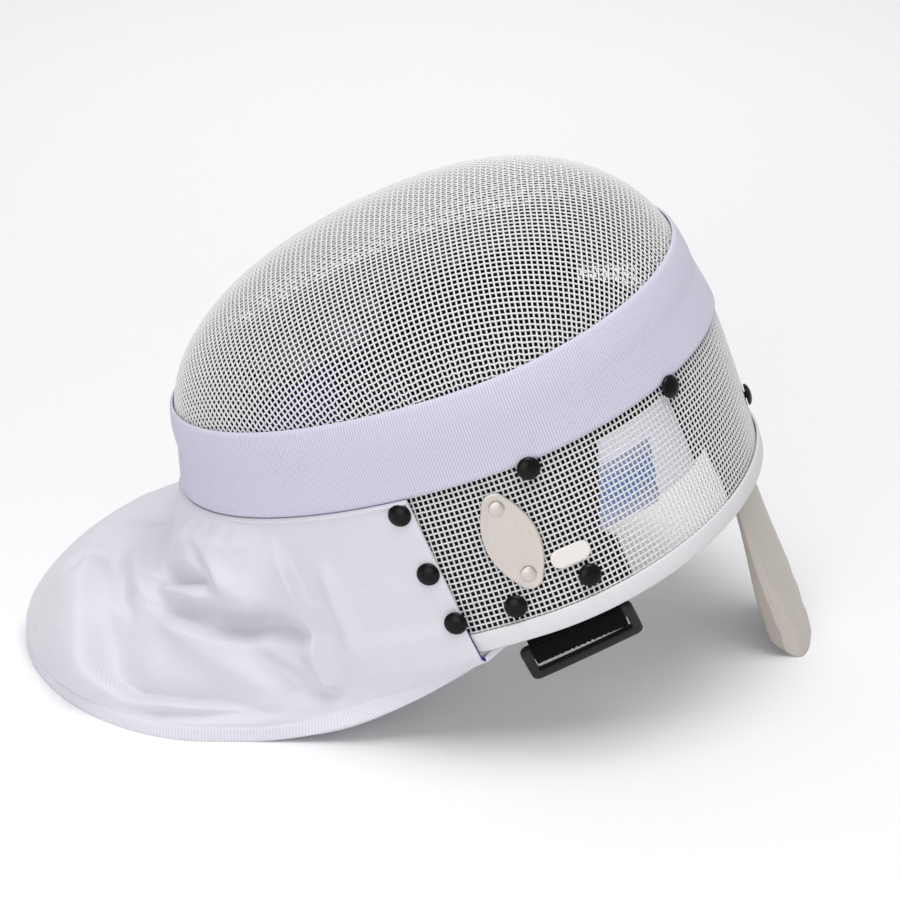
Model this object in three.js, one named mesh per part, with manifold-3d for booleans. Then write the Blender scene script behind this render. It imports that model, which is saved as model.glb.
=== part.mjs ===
// A fencing mask lying as it is put down: the pressed mesh face looks up and to the back, the bib is
// spread on the floor under the chin, and the tongue behind the crown props the other end up.
// Millimetres, +Z up, +X towards the crown, +Y towards the wearer's right side.
import * as THREE from "three";
import { mergeVertices } from "three/addons/utils/BufferGeometryUtils.js";
import Module from "manifold-3d";

const wasm = await Module();
wasm.setup();

// Clearances and posture
const GAP = 0.3;
const TILT = 20;
const JAW_STANDS = 37.8;
const AROUND = 48;

// Mesh face and sides: outline of the seam, and how the side wall widens with its depth
const CHIN_REACH = 166.5;
const CROWN_REACH = 121.5;
const HALF_WIDTH = 121;
const OUTLINE_POWER = 1.95;
const MESH_THICK = 2;
const FACE_RISE = 81;
const FACE_FULLNESS = 2.6;
const FACE_SHOULDER = 1.92;
const SIDE_DEPTH = 110;
const CHIN_STRIP = 29.5;
const JAW_ANGLE = 135;
const WALL_SECTIONS = {
  // depth as a share of SIDE_DEPTH, the others as shares of the seam's own reach
  columns: ["depth", "chin", "crown", "side"],
  rows: [
    [0.0, 1.0, 1.0, 1.0],
    [0.22, 1.045, 1.033, 1.003],
    [0.55, 1.085, 1.04, 1.045],
    [0.92, 1.11, 1.03, 1.098],
    [1.1, 1.12, 1.02, 1.115],
  ],
};

// Trim band over the seam, and the plastic binding on the rim
const BAND_ABOVE = 22;
const BAND_BELOW = 24.5;
const BAND_THICK = 1.5;
const BINDING_LIP = 8.5;
const BINDING_INNER_LIP = 5;
const BINDING_THICK = 1.5;
const BINDING_END = 131;

// Bib, its hem tape and its lining
const BIB_THICK = 2;
const BIB_TOP_ANGLE = 69.5;
const BIB_RIM_ANGLE = 74.7;
const BIB_EASE = 0.6;
const BIB_REACH = 91;
const HEM_POWER = 1.8;
const HEM_END_ANGLE = 97;
const HEM_END_TUCK = 8.5;
const HEM_TAPE = 9.5;
const HEM_THICK = 3;
const HEM_LIFT_POWER = 1.7;
const HEM_GATHER = 1.6;
const HEM_PAST_BIB = 0.045;
const LINING_THICK = 1;
const SIDE_FROM = 0.44;
const SIDE_FULL = 0.585;
const BIB_COLUMNS = 36;
const BIB_ROWS = 10;
const PUFF = {
  // how far the chin part stands out from the straight line, a quarter, half and three quarters down
  columns: ["quarter", "half", "low"],
  right: [-3, 12, 15],
  left: [4, -4, 5],
};
const FOLD_HEIGHT = 10;
const FOLDS_END = 0.64;
const FOLDS = {
  // places are shares: s from the chin (0) to the rear edge (1 left, -1 right), t from the band to the hem
  columns: ["s start", "t start", "s mid", "t mid", "s end", "t end", "half width", "height"],
  rows: [
    [0.5, 0.06, 0.555, 0.37, 0.575, 0.75, 0.05, 0.3],
    [0.24, 0.4, 0.4, 0.47, 0.57, 0.45, 0.06, -0.9],
    [0.28, 0.5, 0.4, 0.57, 0.53, 0.68, 0.08, 0.5],
    [0.22, 0.2, 0.34, 0.29, 0.48, 0.36, 0.07, 0.45],
    [0.16, 0.58, 0.33, 0.65, 0.54, 0.85, 0.06, -0.6],
    [-0.04, 0.38, 0.1, 0.53, 0.21, 0.75, 0.06, -0.5],
    [-0.48, 0.42, -0.36, 0.52, -0.22, 0.62, 0.08, -0.7],
  ],
};

// Padding inside the crown, with its coloured panel
const PAD_THICK = 8;
const PAD_PANEL_THICK = 1;
const PAD_BRIDGE = 17;
const PAD = {
  // angles from the crown in degrees, depths as shares of SIDE_DEPTH
  columns: ["top angle", "top depth", "low angle", "low depth"],
  end: [62.5, 0.255, 71.5, 0.68],
  crown: [0, 0.32, 0, 0.85],
};
const PAD_PANEL = { from: 0.03, to: 0.2, top: 0.18, low: 0.8 };

// Tongue: a spring strip under a vinyl cover
const TONGUE_WIDTH = 60;
const TONGUE_BOW = 4;
const TONGUE_TOP = 64;
const TONGUE_HANGS_IN = 9;
const TONGUE_FOOT = 9;
const TONGUE_FOOT_RISE = 12;
const TONGUE = {
  // share of the way from the top of the tongue to the floor, thickness, twist of the far edge
  columns: ["share", "thick", "twist"],
  rows: [
    [0.0, 4.5, 0],
    [0.14, 4.5, 0],
    [0.3, 5, 3],
    [0.45, 5.5, 4],
    [0.6, 7.5, 4.5],
    [0.75, 11, 4],
    [0.9, 13.5, 2.5],
    [1.0, 13.5, 2.5],
  ],
};

// Rivets: domed cap, shank and inner washer
const RIVET_HEAD = 6;
const RIVET_RISE = 3;
const SHANK = 1.8;
const WASHER = 4.5;
const WASHER_THICK = 1.2;
const RIVET_SIDES = 8;
const BORE_SIDES = 6;
const BORE_LONG = 40;
const SIDE_RIVETS = {
  // depth as a share of SIDE_DEPTH, angle from the crown in degrees
  columns: ["name", "depth", "angle", "holds"],
  rows: [
    ["bib_rivet_top", 0.286, 113.1, "bib"],
    ["bib_rivet_mid", 0.588, 110.9, "bib"],
    ["bib_rivet_low", 0.838, 108.1, "bib"],
    ["band_rivet_back", 0.25, 81.2, "band"],
    ["band_rivet_crown", 0.252, 40.4, "band"],
    ["strap_rivet_crown", 0.826, 77.2, "strap"],
    ["strap_rivet_bib", 0.846, 94.8, "strap"],
  ],
};
const CROWN_RIVET_DEPTH = 82;

// Identity plate and blank label, on the left side only
const PLATE_LONG = 54;
const PLATE_WIDE = 28;
const PLATE_THICK = 0.8;
const PLATE_TIP = 7;
const PLATE_AT = [0.549, 90.6];
const PLATE_TURN = 6;
const PLATE_RIVET_SPAN = 37;
const PLATE_RIVET_HEAD = 4;
const PLATE_RIVET_RISE = 1;
const LABEL_LONG = 21;
const LABEL_WIDE = 10;
const LABEL_THICK = 0.6;
const LABEL_AT = [0.702, 79.5];

// Strap loops and buckles under the rim
const WEB_WIDE = 50;
const WEB_THICK = 1.5;
const WEB_TOP = 0.79;
const WEB_BENDS = 7;
const STRAP_ANGLE = 86.5;
const BUCKLE_ANGLE = 84.6;
const BUCKLE_WIDE = 62;
const BUCKLE_TALL = 25;
const BUCKLE_THICK = 4;
const BUCKLE_TOP_BAR = 8.5;
const BUCKLE_LOW_BAR = 5.8;
const BUCKLE_SIDE_BAR = 5;
const BUCKLE_DROP = 6;
const BUCKLE_LEAN = 23;
const BUCKLE_ROLL = 4.6;
const BUCKLE_CORNER = 4;

const rad = THREE.MathUtils.degToRad;
const mix = (a, b, k) => a + (b - a) * k;
const clamp = (x) => Math.min(Math.max(x, 0), 1);
const smooth = (x) => clamp(x) ** 2 * (3 - 2 * clamp(x));
const vec = (x, y, z) => new THREE.Vector3(x, y, z);

// The value of one table column at a share, as a smooth curve through its rows.
function column(rows, at, share) {
  const xs = rows.map((row) => row[0]);
  const ys = rows.map((row) => row[at]);
  const last = xs.length - 1;
  const slope = (k) => (ys[k + 1] - ys[k]) / (xs[k + 1] - xs[k]);
  const tangent = (k) => (k === 0 ? slope(0) : k === last ? slope(last - 1) : (slope(k - 1) + slope(k)) / 2);
  const x = Math.min(Math.max(share, xs[0]), xs[last]);
  let i = 0;
  while (i < last - 1 && x > xs[i + 1]) i++;
  const h = xs[i + 1] - xs[i];
  const t = (x - xs[i]) / h;
  return (
    (2 * t ** 3 - 3 * t ** 2 + 1) * ys[i] +
    (t ** 3 - 2 * t ** 2 + t) * h * tangent(i) +
    (3 * t ** 2 - 2 * t ** 3) * ys[i + 1] +
    (t ** 3 - t ** 2) * h * tangent(i + 1)
  );
}

// The mask's outline at an angle from the crown, from its three reaches.
function outline(angle, chin, crown, side) {
  const c = Math.cos(angle);
  const s = Math.sin(angle);
  const along = Math.abs(c / (c > 0 ? crown : chin)) ** OUTLINE_POWER;
  return (along + Math.abs(s / side) ** OUTLINE_POWER) ** (-1 / OUTLINE_POWER);
}

function wallRadius(angle, depth) {
  const share = depth / SIDE_DEPTH;
  const rows = WALL_SECTIONS.rows;
  return outline(
    angle,
    CHIN_REACH * column(rows, 1, share),
    CROWN_REACH * column(rows, 2, share),
    HALF_WIDTH * column(rows, 3, share),
  );
}

// The mask's own frame: u to the crown, v to the right side, w out of the face, from the seam's middle.
// It is tilted back and stands so high that the rim's jaw corner clears the floor.
const jawRadius = wallRadius(rad(JAW_ANGLE), SIDE_DEPTH);
const SEAM_HEIGHT =
  JAW_STANDS - jawRadius * Math.cos(rad(JAW_ANGLE)) * Math.sin(rad(TILT)) + SIDE_DEPTH * Math.cos(rad(TILT));
const place = (u, v, w) =>
  vec(
    u * Math.cos(rad(TILT)) - w * Math.sin(rad(TILT)),
    v,
    SEAM_HEIGHT + u * Math.sin(rad(TILT)) + w * Math.cos(rad(TILT)),
  );
const direction = (u, v, w) => place(u, v, w).sub(place(0, 0, 0));

function wallPoint(angle, depth, out = 0) {
  const r = wallRadius(angle, depth) + out;
  return place(r * Math.cos(angle), r * Math.sin(angle), -depth);
}

function wallNormal(angle, depth) {
  const step = 0.01;
  const around = wallPoint(angle + step, depth).sub(wallPoint(angle - step, depth));
  const down = wallPoint(angle, depth + 1).sub(wallPoint(angle, depth - 1));
  const n = around.cross(down).normalize();
  return n.dot(wallPoint(angle, depth, 1).sub(wallPoint(angle, depth))) < 0 ? n.negate() : n;
}

// The pressed face: rho is 1 at the seam and 0 at the top of the face.
function facePoint(angle, rho, out = 0) {
  const r = (outline(angle, CHIN_REACH, CROWN_REACH, HALF_WIDTH) + out) * rho;
  const w = (FACE_RISE + out) * Math.max(1 - rho ** FACE_FULLNESS, 0) ** (1 / FACE_SHOULDER);
  return place(r * Math.cos(angle), r * Math.sin(angle), w);
}
const rhoAtHeight = (w) => (1 - (w / FACE_RISE) ** FACE_SHOULDER) ** (1 / FACE_FULLNESS);

// A geometry from triangles of points, its faces turned outwards.
function bodyOf(triangles) {
  const live = triangles.filter(
    ([a, b, c]) => a.distanceTo(b) > 1e-4 && b.distanceTo(c) > 1e-4 && c.distanceTo(a) > 1e-4,
  );
  const volume = live.reduce((sum, [a, b, c]) => sum + a.dot(b.clone().cross(c)), 0);
  const turned = live.flatMap(([a, b, c]) => (volume < 0 ? [a, c, b] : [a, b, c]));
  const numbers = turned.flatMap((p) => p.toArray());
  const geometry = new THREE.BufferGeometry();
  geometry.setAttribute("position", new THREE.Float32BufferAttribute(numbers, 3));
  geometry.computeVertexNormals();
  return geometry;
}

// A closed wall over a grid: outside and inside give its two faces, keep says which cells are there.
function wallBody(columns, rows, outside, inside, ring = false, keep = () => true) {
  const across = ring ? columns : columns + 1;
  const faces = [outside, inside].map((face) =>
    Array.from({ length: rows + 1 }, (_, j) => Array.from({ length: across }, (_, i) => face(i, j))),
  );
  const at = (side, i, j) => faces[side][j][i % across];
  const kept = (i, j) => {
    if (j < 0 || j >= rows || (!ring && (i < 0 || i >= columns))) return false;
    return keep((i + columns) % columns, j);
  };
  const triangles = [];
  const quad = (a, b, c, d) => triangles.push([a, b, c], [a, c, d]);
  for (let j = 0; j < rows; j++)
    for (let i = 0; i < columns; i++) {
      if (!kept(i, j)) continue;
      const corners = [[i, j], [i + 1, j], [i + 1, j + 1], [i, j + 1]];
      const [first, ...others] = corners.map(([a, b]) => at(1, a, b));
      quad(...corners.map(([a, b]) => at(0, a, b)));
      quad(first, ...others.reverse());
      const beside = [[i, j - 1], [i + 1, j], [i, j + 1], [i - 1, j]];
      beside.forEach(([a, b], k) => {
        if (kept(a, b)) return;
        const [from, to] = [corners[k], corners[(k + 1) % 4]];
        quad(at(0, ...to), at(0, ...from), at(1, ...from), at(1, ...to));
      });
    }
  return bodyOf(triangles);
}

// A closed body through rings of points; its two ends are filled by the ring's own flat outline.
function loftBody(rings, outline2d) {
  const triangles = [];
  const count = rings[0].length;
  for (let k = 0; k + 1 < rings.length; k++)
    for (let i = 0; i < count; i++) {
      const n = (i + 1) % count;
      triangles.push([rings[k][i], rings[k][n], rings[k + 1][n]]);
      triangles.push([rings[k][i], rings[k + 1][n], rings[k + 1][i]]);
    }
  for (const [a, b, c] of THREE.ShapeUtils.triangulateShape(outline2d, [])) {
    const turned = THREE.ShapeUtils.isClockWise(outline2d) ? [a, b, c] : [c, b, a];
    const [first, last] = [rings[0], rings[rings.length - 1]];
    triangles.push(turned.map((i) => first[i]), turned.toReversed().map((i) => last[i]));
  }
  return bodyOf(triangles);
}

function solidOf(mesh) {
  mesh.updateMatrixWorld(true);
  const source = mesh.geometry.index ? mesh.geometry.toNonIndexed() : mesh.geometry;
  const plain = new THREE.BufferGeometry();
  plain.setAttribute("position", source.getAttribute("position").clone());
  plain.applyMatrix4(mesh.matrixWorld);
  const merged = mergeVertices(plain, 1e-4);
  const body = { numProp: 3, vertProperties: merged.attributes.position.array, triVerts: merged.index.array };
  body.triVerts = new Uint32Array(body.triVerts);
  return new wasm.Manifold(new wasm.Mesh(body));
}

// Takes the cutters out of a mesh that stands in the model's own frame.
function pierce(mesh, cutters) {
  const cut = cutters.reduce((solid, cutter) => solid.subtract(solidOf(cutter)), solidOf(mesh));
  const { vertProperties, triVerts } = cut.getMesh();
  const indexed = new THREE.BufferGeometry();
  indexed.setAttribute("position", new THREE.BufferAttribute(vertProperties, 3));
  indexed.setIndex(new THREE.BufferAttribute(triVerts, 1));
  mesh.geometry = indexed.toNonIndexed();
  mesh.geometry.computeVertexNormals();
}

const finish = (color, roughness, metalness = 0) => ({ color, roughness, metalness });
const MESH_PAINT = finish(0xdedede, 0.35, 0.2);
const ELASTIC = finish(0xd3d0e2, 0.9);
const BIB_CLOTH = finish(0xe4e3ef, 0.85);
const TRIM_PLASTIC = finish(0xdadadf, 0.45);
const LINING_CLOTH = finish(0x2a1f7a, 0.8);
const PAD_CLOTH = finish(0xe8e8ee, 0.9);
const PANEL_CLOTH = finish(0x2f56a8, 0.85);
const VINYL = finish(0xc2bbb3, 0.55);
const BLACK_CAP = finish(0x14141a, 0.2);
const PLATE_METAL = finish(0xcfcac4, 0.35, 0.8);
const LABEL_SKIN = finish(0xe6e0de, 0.5);
const WEBBING = finish(0x0a0a0c, 0.95);
const BUCKLE_PLASTIC = finish(0x2e2d30, 0.45);

const mask = new THREE.Group();
function piece(name, geometry, look, parent = mask) {
  const mesh = new THREE.Mesh(geometry, new THREE.MeshStandardMaterial(look));
  mesh.name = name;
  parent.add(mesh);
  return mesh;
}

const stationAngle = (i) => (i * 2 * Math.PI) / AROUND;

// The pressed face. Its lowest rows follow the trim band's rows, so that the band lies close on it.
function frontMesh() {
  const rims = [GAP / 2, BAND_ABOVE / 2, BAND_ABOVE].map(rhoAtHeight);
  const rhos = [...rims, 0.86, 0.68, 0.42, 0];
  const face = (out) => (i, j) => facePoint(stationAngle(i), rhos[j], out);
  return wallBody(AROUND, rhos.length - 1, face(0), face(-MESH_THICK), true);
}

// The side mesh: a full wall on the sides and crown, and a narrow strip round the chin.
const sideRows = [
  GAP / 2,
  BAND_BELOW,
  CHIN_STRIP,
  ...[1 / 3, 2 / 3, 1].map((k) => mix(CHIN_STRIP, SIDE_DEPTH, k)),
];
const behindJaw = (i) => Math.cos(stationAngle(i + 0.5)) > Math.cos(rad(JAW_ANGLE));
function sideMesh() {
  const wall = (out) => (i, j) => wallPoint(stationAngle(i), sideRows[j], out);
  const keep = (i, j) => sideRows[j] < CHIN_STRIP || behindJaw(i);
  return wallBody(AROUND, sideRows.length - 1, wall(0), wall(-MESH_THICK), true, keep);
}

// The elastic band that covers the seam, on the face above it and on the wall below it.
function trimBand() {
  const heights = [BAND_ABOVE, BAND_ABOVE / 2, 0, -BAND_BELOW];
  const skin = (out) => (i, j) => {
    const w = heights[j];
    return w > 0 ? facePoint(stationAngle(i), rhoAtHeight(w), out) : wallPoint(stationAngle(i), -w, out);
  };
  return wallBody(AROUND, heights.length - 1, skin(GAP + BAND_THICK), skin(GAP), true);
}

// The binding: a channel over the side mesh's edge, from one jaw round the crown to the other.
function rimBinding() {
  const outer = GAP + BINDING_THICK;
  const inner = -MESH_THICK - GAP - BINDING_THICK;
  const seat = SIDE_DEPTH + GAP;
  const profile = [
    [outer, SIDE_DEPTH - BINDING_LIP],
    [outer, seat + BINDING_THICK],
    [inner, seat + BINDING_THICK],
    [inner, SIDE_DEPTH - BINDING_INNER_LIP],
    [inner + BINDING_THICK, SIDE_DEPTH - BINDING_INNER_LIP],
    [inner + BINDING_THICK, seat],
    [GAP, seat],
    [GAP, SIDE_DEPTH - BINDING_LIP],
  ];
  const stations = Array.from({ length: AROUND + 1 }, (_, i) => stationAngle(i - AROUND / 2));
  const angles = stations.filter((angle) => Math.cos(angle) > Math.cos(rad(BINDING_END)));
  const rings = angles.map((angle) => profile.map(([out, depth]) => wallPoint(angle, depth, out)));
  return loftBody(rings, profile.map(([x, y]) => new THREE.Vector2(x, y)));
}

// The hem's line on the floor, from the tip under the chin to its end inside the rim.
const bibFoot = SIDE_DEPTH + BINDING_THICK + 2 * GAP;
const hemTip = wallPoint(Math.PI, BAND_BELOW).x - BIB_REACH;
const hemTurn = wallPoint(rad(135), BAND_BELOW).x - BIB_REACH * 0.6;
const hemHalf = wallPoint(rad(90), 0).y - 2.5;
const hemEnd = wallPoint(rad(HEM_END_ANGLE), bibFoot, -HEM_END_TUCK);
const hemLine = hemPoints();
function hemPoints() {
  const points = [];
  for (let k = 0; k <= 60; k++) {
    const a = (k / 60) * (Math.PI / 2);
    const x = mix(hemTurn, hemTip, Math.max(Math.cos(a), 0) ** (2 / HEM_POWER));
    points.push(vec(x, hemHalf * Math.sin(a) ** (2 / HEM_POWER), 0));
  }
  const liftFrom = mix(hemTurn, hemEnd.x, 0.1);
  for (let k = 1; k <= 40; k++) {
    const x = mix(hemTurn, hemEnd.x, k / 40);
    const lift = clamp((x - liftFrom) / (hemEnd.x - liftFrom)) ** HEM_LIFT_POWER;
    points.push(vec(x, mix(hemHalf, hemEnd.y, smooth(k / 40)), hemEnd.z * lift));
  }
  return points;
}
const hemLengths = [0];
for (const [k, p] of hemLine.slice(1).entries()) hemLengths.push(hemLengths[k] + p.distanceTo(hemLine[k]));
function hemAt(share) {
  const length = clamp(share) * hemLengths.at(-1);
  const k = Math.max(1, hemLengths.findIndex((l) => l >= length - 1e-9));
  const t = (length - hemLengths[k - 1]) / (hemLengths[k] - hemLengths[k - 1]);
  return hemLine[k - 1].clone().lerp(hemLine[k], t);
}
const bibHemShare = (a) => (1 - (1 - a) ** HEM_GATHER) * (1 - HEM_PAST_BIB);

// The part of the bib that lies on the side mesh down to the rim, and falls from there to the hem.
function bibOnSide(a, t) {
  const turn = (k) => rad(180 - mix(BIB_TOP_ANGLE, BIB_RIM_ANGLE, k) * a);
  const top = BAND_BELOW + GAP;
  const step = (depth) => (BINDING_THICK + GAP) * smooth((depth - 0.8 * SIDE_DEPTH) / 10);
  const cloth = (depth) => BIB_EASE + BIB_THICK + step(depth);
  const along = (k) => {
    const depth = mix(top, bibFoot, k);
    return wallPoint(turn(k), depth, cloth(depth));
  };
  if (t <= 0.5) return along(t * 2);
  const rim = along(1);
  const hem = hemAt(bibHemShare(a));
  const knee = rim.clone().add(direction(0, 0, -1).multiplyScalar(0.5 * rim.distanceTo(hem)));
  return new THREE.QuadraticBezierCurve3(rim, knee, hem).getPoint(t * 2 - 1);
}

// The part of the bib that hangs free from the chin, puffed out on the right and sunk in on the left.
function bibAtChin(a, t, puff) {
  const top = wallPoint(rad(180 - BIB_TOP_ANGLE * a), BAND_BELOW + GAP, BIB_EASE + BIB_THICK);
  const hem = hemAt(bibHemShare(a));
  const centre = vec(mix(hemTip, 0, 0.57), 0, 0);
  const stand = (share, out) => {
    const p = top.clone().lerp(hem, share);
    return p.add(p.clone().sub(centre).normalize().multiplyScalar(out));
  };
  const keys = [top, stand(0.28, puff[0]), stand(0.55, puff[1]), stand(0.8, puff[2]), hem];
  return new THREE.CatmullRomCurve3(keys, false, "catmullrom", 0.5).getPoint(t);
}

// The bib before its folds: s from -1 at its right rear edge to 1 at its left one, t from band to hem.
function bibPlain(s, t) {
  const a = Math.abs(s);
  const side = smooth((a - SIDE_FROM) / (SIDE_FULL - SIDE_FROM));
  const left = smooth(s / 0.35);
  const puff = PUFF.right.map((out, k) => mix(out, PUFF.left[k], left));
  const p = side < 1 ? bibAtChin(a, t, puff).lerp(bibOnSide(a, t), side) : bibOnSide(a, t);
  p.y *= s > 0 ? -1 : s < 0 ? 1 : 0;
  return p;
}

// How far the cloth rises or sinks at a place for one fold: a soft ridge along a bent line.
function foldAt([s0, t0, s1, t1, s2, t2, halfWidth, height], s, t) {
  const at = (x, y) => new THREE.Vector2(x * 2.4, y);
  const here = at(s, t);
  let best = { away: Infinity, along: 0 };
  [[at(s0, t0), at(s1, t1), 0], [at(s1, t1), at(s2, t2), 0.5]].forEach(([from, to, start]) => {
    const run = to.clone().sub(from);
    const k = clamp(here.clone().sub(from).dot(run) / run.lengthSq());
    const away = from.clone().addScaledVector(run, k).distanceTo(here);
    if (away < best.away) best = { away, along: start + k / 2 };
  });
  const ends = smooth(4 * best.along * (1 - best.along));
  return height * FOLD_HEIGHT * ends * Math.exp(-((best.away / halfWidth) ** 2));
}

function bibNormal(s, t) {
  const step = 0.01;
  const across = bibPlain(Math.min(s + step, 1), t).sub(bibPlain(Math.max(s - step, -1), t));
  const down = bibPlain(s, Math.min(t + step, 1)).sub(bibPlain(s, Math.max(t - step, 0)));
  return down.cross(across).normalize();
}

// The bib's outer face, with its folds; in is how far below that face, for the lining and the hem.
function bibPoint(s, t, inwards = 0) {
  const free = smooth(6 * t) * smooth(6 * (1 - t)) * smooth((FOLDS_END - Math.abs(s)) / 0.1);
  const fold = FOLDS.rows.reduce((sum, row) => sum + foldAt(row, s, t), 0) * free;
  const p = bibPlain(s, t).addScaledVector(bibNormal(s, t), fold - inwards);
  p.z = Math.max(p.z, 0);
  return p;
}

const bibShare = (k, count) => (2 * k) / count - 1;
const clothHeight = (s) => bibPlain(s, 0.5).distanceTo(bibPlain(s, 1)) * 2;
const hemFrom = (s) => 1 - HEM_TAPE / Math.max(clothHeight(s), 4 * HEM_TAPE);

const bibRow = (s, j) => (j / BIB_ROWS) * (hemFrom(s) - (2 * GAP) / clothHeight(s));

function bibCloth() {
  const face = (inwards) => (i, j) => {
    const s = bibShare(i, BIB_COLUMNS);
    return bibPoint(s, bibRow(s, j), inwards);
  };
  return wallBody(BIB_COLUMNS, BIB_ROWS, face(0), face(BIB_THICK));
}

// The lining: it covers the hollow side of the chin part, and at the sides it starts below the rim.
function bibLining() {
  const face = (inwards) => (i, j) => {
    const s = bibShare(i, BIB_COLUMNS);
    return bibPoint(s, bibRow(s, j), inwards);
  };
  const keep = (i, j) => {
    const s = Math.abs(bibShare(i + 0.5, BIB_COLUMNS));
    return j >= (s < SIDE_FROM ? 1 : Math.ceil(0.65 * BIB_ROWS));
  };
  const [top, low] = [BIB_THICK + GAP, BIB_THICK + GAP + LINING_THICK];
  return wallBody(BIB_COLUMNS, BIB_ROWS, face(top), face(low), false, keep);
}

// The hem tape: a strip along the bib's lower edge that runs on, past the bib, to its ends inside the rim.
function hemTape() {
  const past = 2;
  const columns = BIB_COLUMNS + 2 * past;
  const point = (i, edge, inwards) => {
    const k = Math.min(Math.max(i - past, 0), BIB_COLUMNS);
    const s = bibShare(k, BIB_COLUMNS);
    const p = bibPoint(s, edge ? 1 : hemFrom(s), inwards);
    const over = Math.abs(i - past - k);
    if (over) {
      const run = hemAt(1 - HEM_PAST_BIB * (1 - over / past)).sub(hemAt(1 - HEM_PAST_BIB));
      p.add(vec(run.x, run.y * -Math.sign(s), run.z));
      p.y += Math.sign(s) * over * (edge ? 0 : HEM_THICK);
    }
    return p;
  };
  const rings = Array.from({ length: columns + 1 }, (_, i) => {
    const out = (HEM_THICK - BIB_THICK) / 2;
    return [point(i, 0, -out), point(i, 1, -out), point(i, 1, BIB_THICK + out), point(i, 0, BIB_THICK + out)];
  });
  const square = [vec(0, 0), vec(0, 1), vec(1, 1), vec(1, 0)].map((p) => new THREE.Vector2(p.x, p.y));
  return loftBody(rings, square);
}

// The pad inside the crown: on the mesh at the temples, and bridging in behind the crown.
function padPlace(k, down) {
  const side = k < 0 ? -1 : 1;
  const a = Math.abs(k);
  const angle = mix(mix(PAD.crown[0], PAD.end[0], a), mix(PAD.crown[2], PAD.end[2], a), down);
  const depth = SIDE_DEPTH * mix(mix(PAD.crown[1], PAD.end[1], a), mix(PAD.crown[3], PAD.end[3], a), down);
  return { angle: side * rad(angle), depth, inset: PAD_BRIDGE * smooth(1.15 * (1 - a)) };
}
function padPoint(k, down, inwards) {
  const { angle, depth, inset } = padPlace(k, down);
  return wallPoint(angle, depth, -MESH_THICK - 3 * GAP - PAD_PANEL_THICK - inset - inwards);
}
function headPad() {
  const columns = 20;
  const rows = 4;
  const edge = (j) => (j === 0 || j === rows ? 0.25 : 0);
  const face = (inwards) => (i, j) => {
    const k = (2 * i) / columns - 1;
    return padPoint(k, j / rows, inwards ? PAD_THICK * (1 - edge(j)) : PAD_THICK * edge(j));
  };
  return wallBody(columns, rows, face(0), face(1));
}
function padPanel(side) {
  const face = (inwards) => (i, j) => {
    const a = 1 - mix(PAD_PANEL.from, PAD_PANEL.to, i / 2);
    return padPoint(side * a, mix(PAD_PANEL.top, PAD_PANEL.low, j / 2), inwards - GAP - PAD_PANEL_THICK);
  };
  return wallBody(2, 2, face(0), face(PAD_PANEL_THICK));
}

// The tongue, straight down behind the crown from its rivet, with a flat foot on the floor.
const tongueFace = CROWN_REACH * column(WALL_SECTIONS.rows, 2, 0.9) - MESH_THICK - GAP;
const floorDepth = (u) => (SEAM_HEIGHT + u * Math.sin(rad(TILT))) / Math.cos(rad(TILT));
function tongueStrip() {
  const across = 6;
  const steps = 14;
  const hang = (depth) => TONGUE_HANGS_IN * smooth((depth - CROWN_RIVET_DEPTH - WASHER) / 24);
  const point = (share, k, inner) => {
    const v = (k - 0.5) * TONGUE_WIDTH;
    const bow = TONGUE_BOW * (2 * k - 1) ** 2;
    const twist = column(TONGUE.rows, 2, share) * (2 * k - 1);
    const thick = inner ? column(TONGUE.rows, 1, share) : 0;
    const reach = (depth) => tongueFace - bow + twist - hang(depth) - thick;
    const full = floorDepth(reach(SIDE_DEPTH * 2));
    const depth = mix(TONGUE_TOP, full, share);
    const shorter = inner ? (TONGUE_FOOT_RISE / Math.cos(rad(TILT))) * smooth((share - 0.85) / 0.15) : 0;
    return place(reach(depth), v, -(depth - shorter));
  };
  const ring = (share) => {
    const outer = Array.from({ length: across + 1 }, (_, k) => point(share, k / across, false));
    const inner = Array.from({ length: across + 1 }, (_, k) => point(share, 1 - k / across, true));
    return [...outer, ...inner];
  };
  const rings = Array.from({ length: steps + 1 }, (_, n) => ring(n / steps));
  const sole = rings.at(-1);
  for (const p of sole.slice(0, across + 1)) p.z = 0;
  const heel = sole.slice(0, across + 1).map((p) => vec(p.x - TONGUE_FOOT, p.y, 0)).reverse();
  return footedLoft(rings, heel, across);
}

// A loft whose last ring ends in a flat sole between its outer points and the heel's.
function footedLoft(rings, heel, across) {
  const triangles = [];
  const count = rings[0].length;
  const quad = (a, b, c, d) => triangles.push([a, b, c], [a, c, d]);
  for (let k = 0; k + 1 < rings.length; k++)
    for (let i = 0; i < count; i++) {
      const n = (i + 1) % count;
      quad(rings[k][i], rings[k][n], rings[k + 1][n], rings[k + 1][i]);
    }
  const top = rings[0];
  const end = rings.at(-1);
  for (let i = 0; i < across; i++) {
    const [a, b, c, d] = [i, i + 1, count - 2 - i, count - 1 - i];
    quad(top[d], top[c], top[b], top[a]);
    quad(end[a], end[b], heel[across - 1 - i], heel[across - i]);
    quad(heel[across - i], heel[across - 1 - i], end[c], end[d]);
  }
  triangles.push([end[0], heel[across], end[count - 1]], [end[across], end[across + 1], heel[0]]);
  return bodyOf(triangles);
}

// Turns and places a group so that its own +Z points out of the wall at an angle and depth.
function standOnWall(group, angle, depth, out, spin = 0) {
  const n = wallNormal(angle, depth);
  const down = direction(0, 0, -1);
  const x = down.clone().addScaledVector(n, -down.dot(n)).normalize();
  const basis = new THREE.Matrix4().makeBasis(x, n.clone().cross(x), n);
  group.quaternion.setFromRotationMatrix(basis);
  group.rotateZ(spin);
  group.position.copy(wallPoint(angle, depth)).addScaledVector(n, out);
  mask.add(group);
  return group;
}

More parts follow.
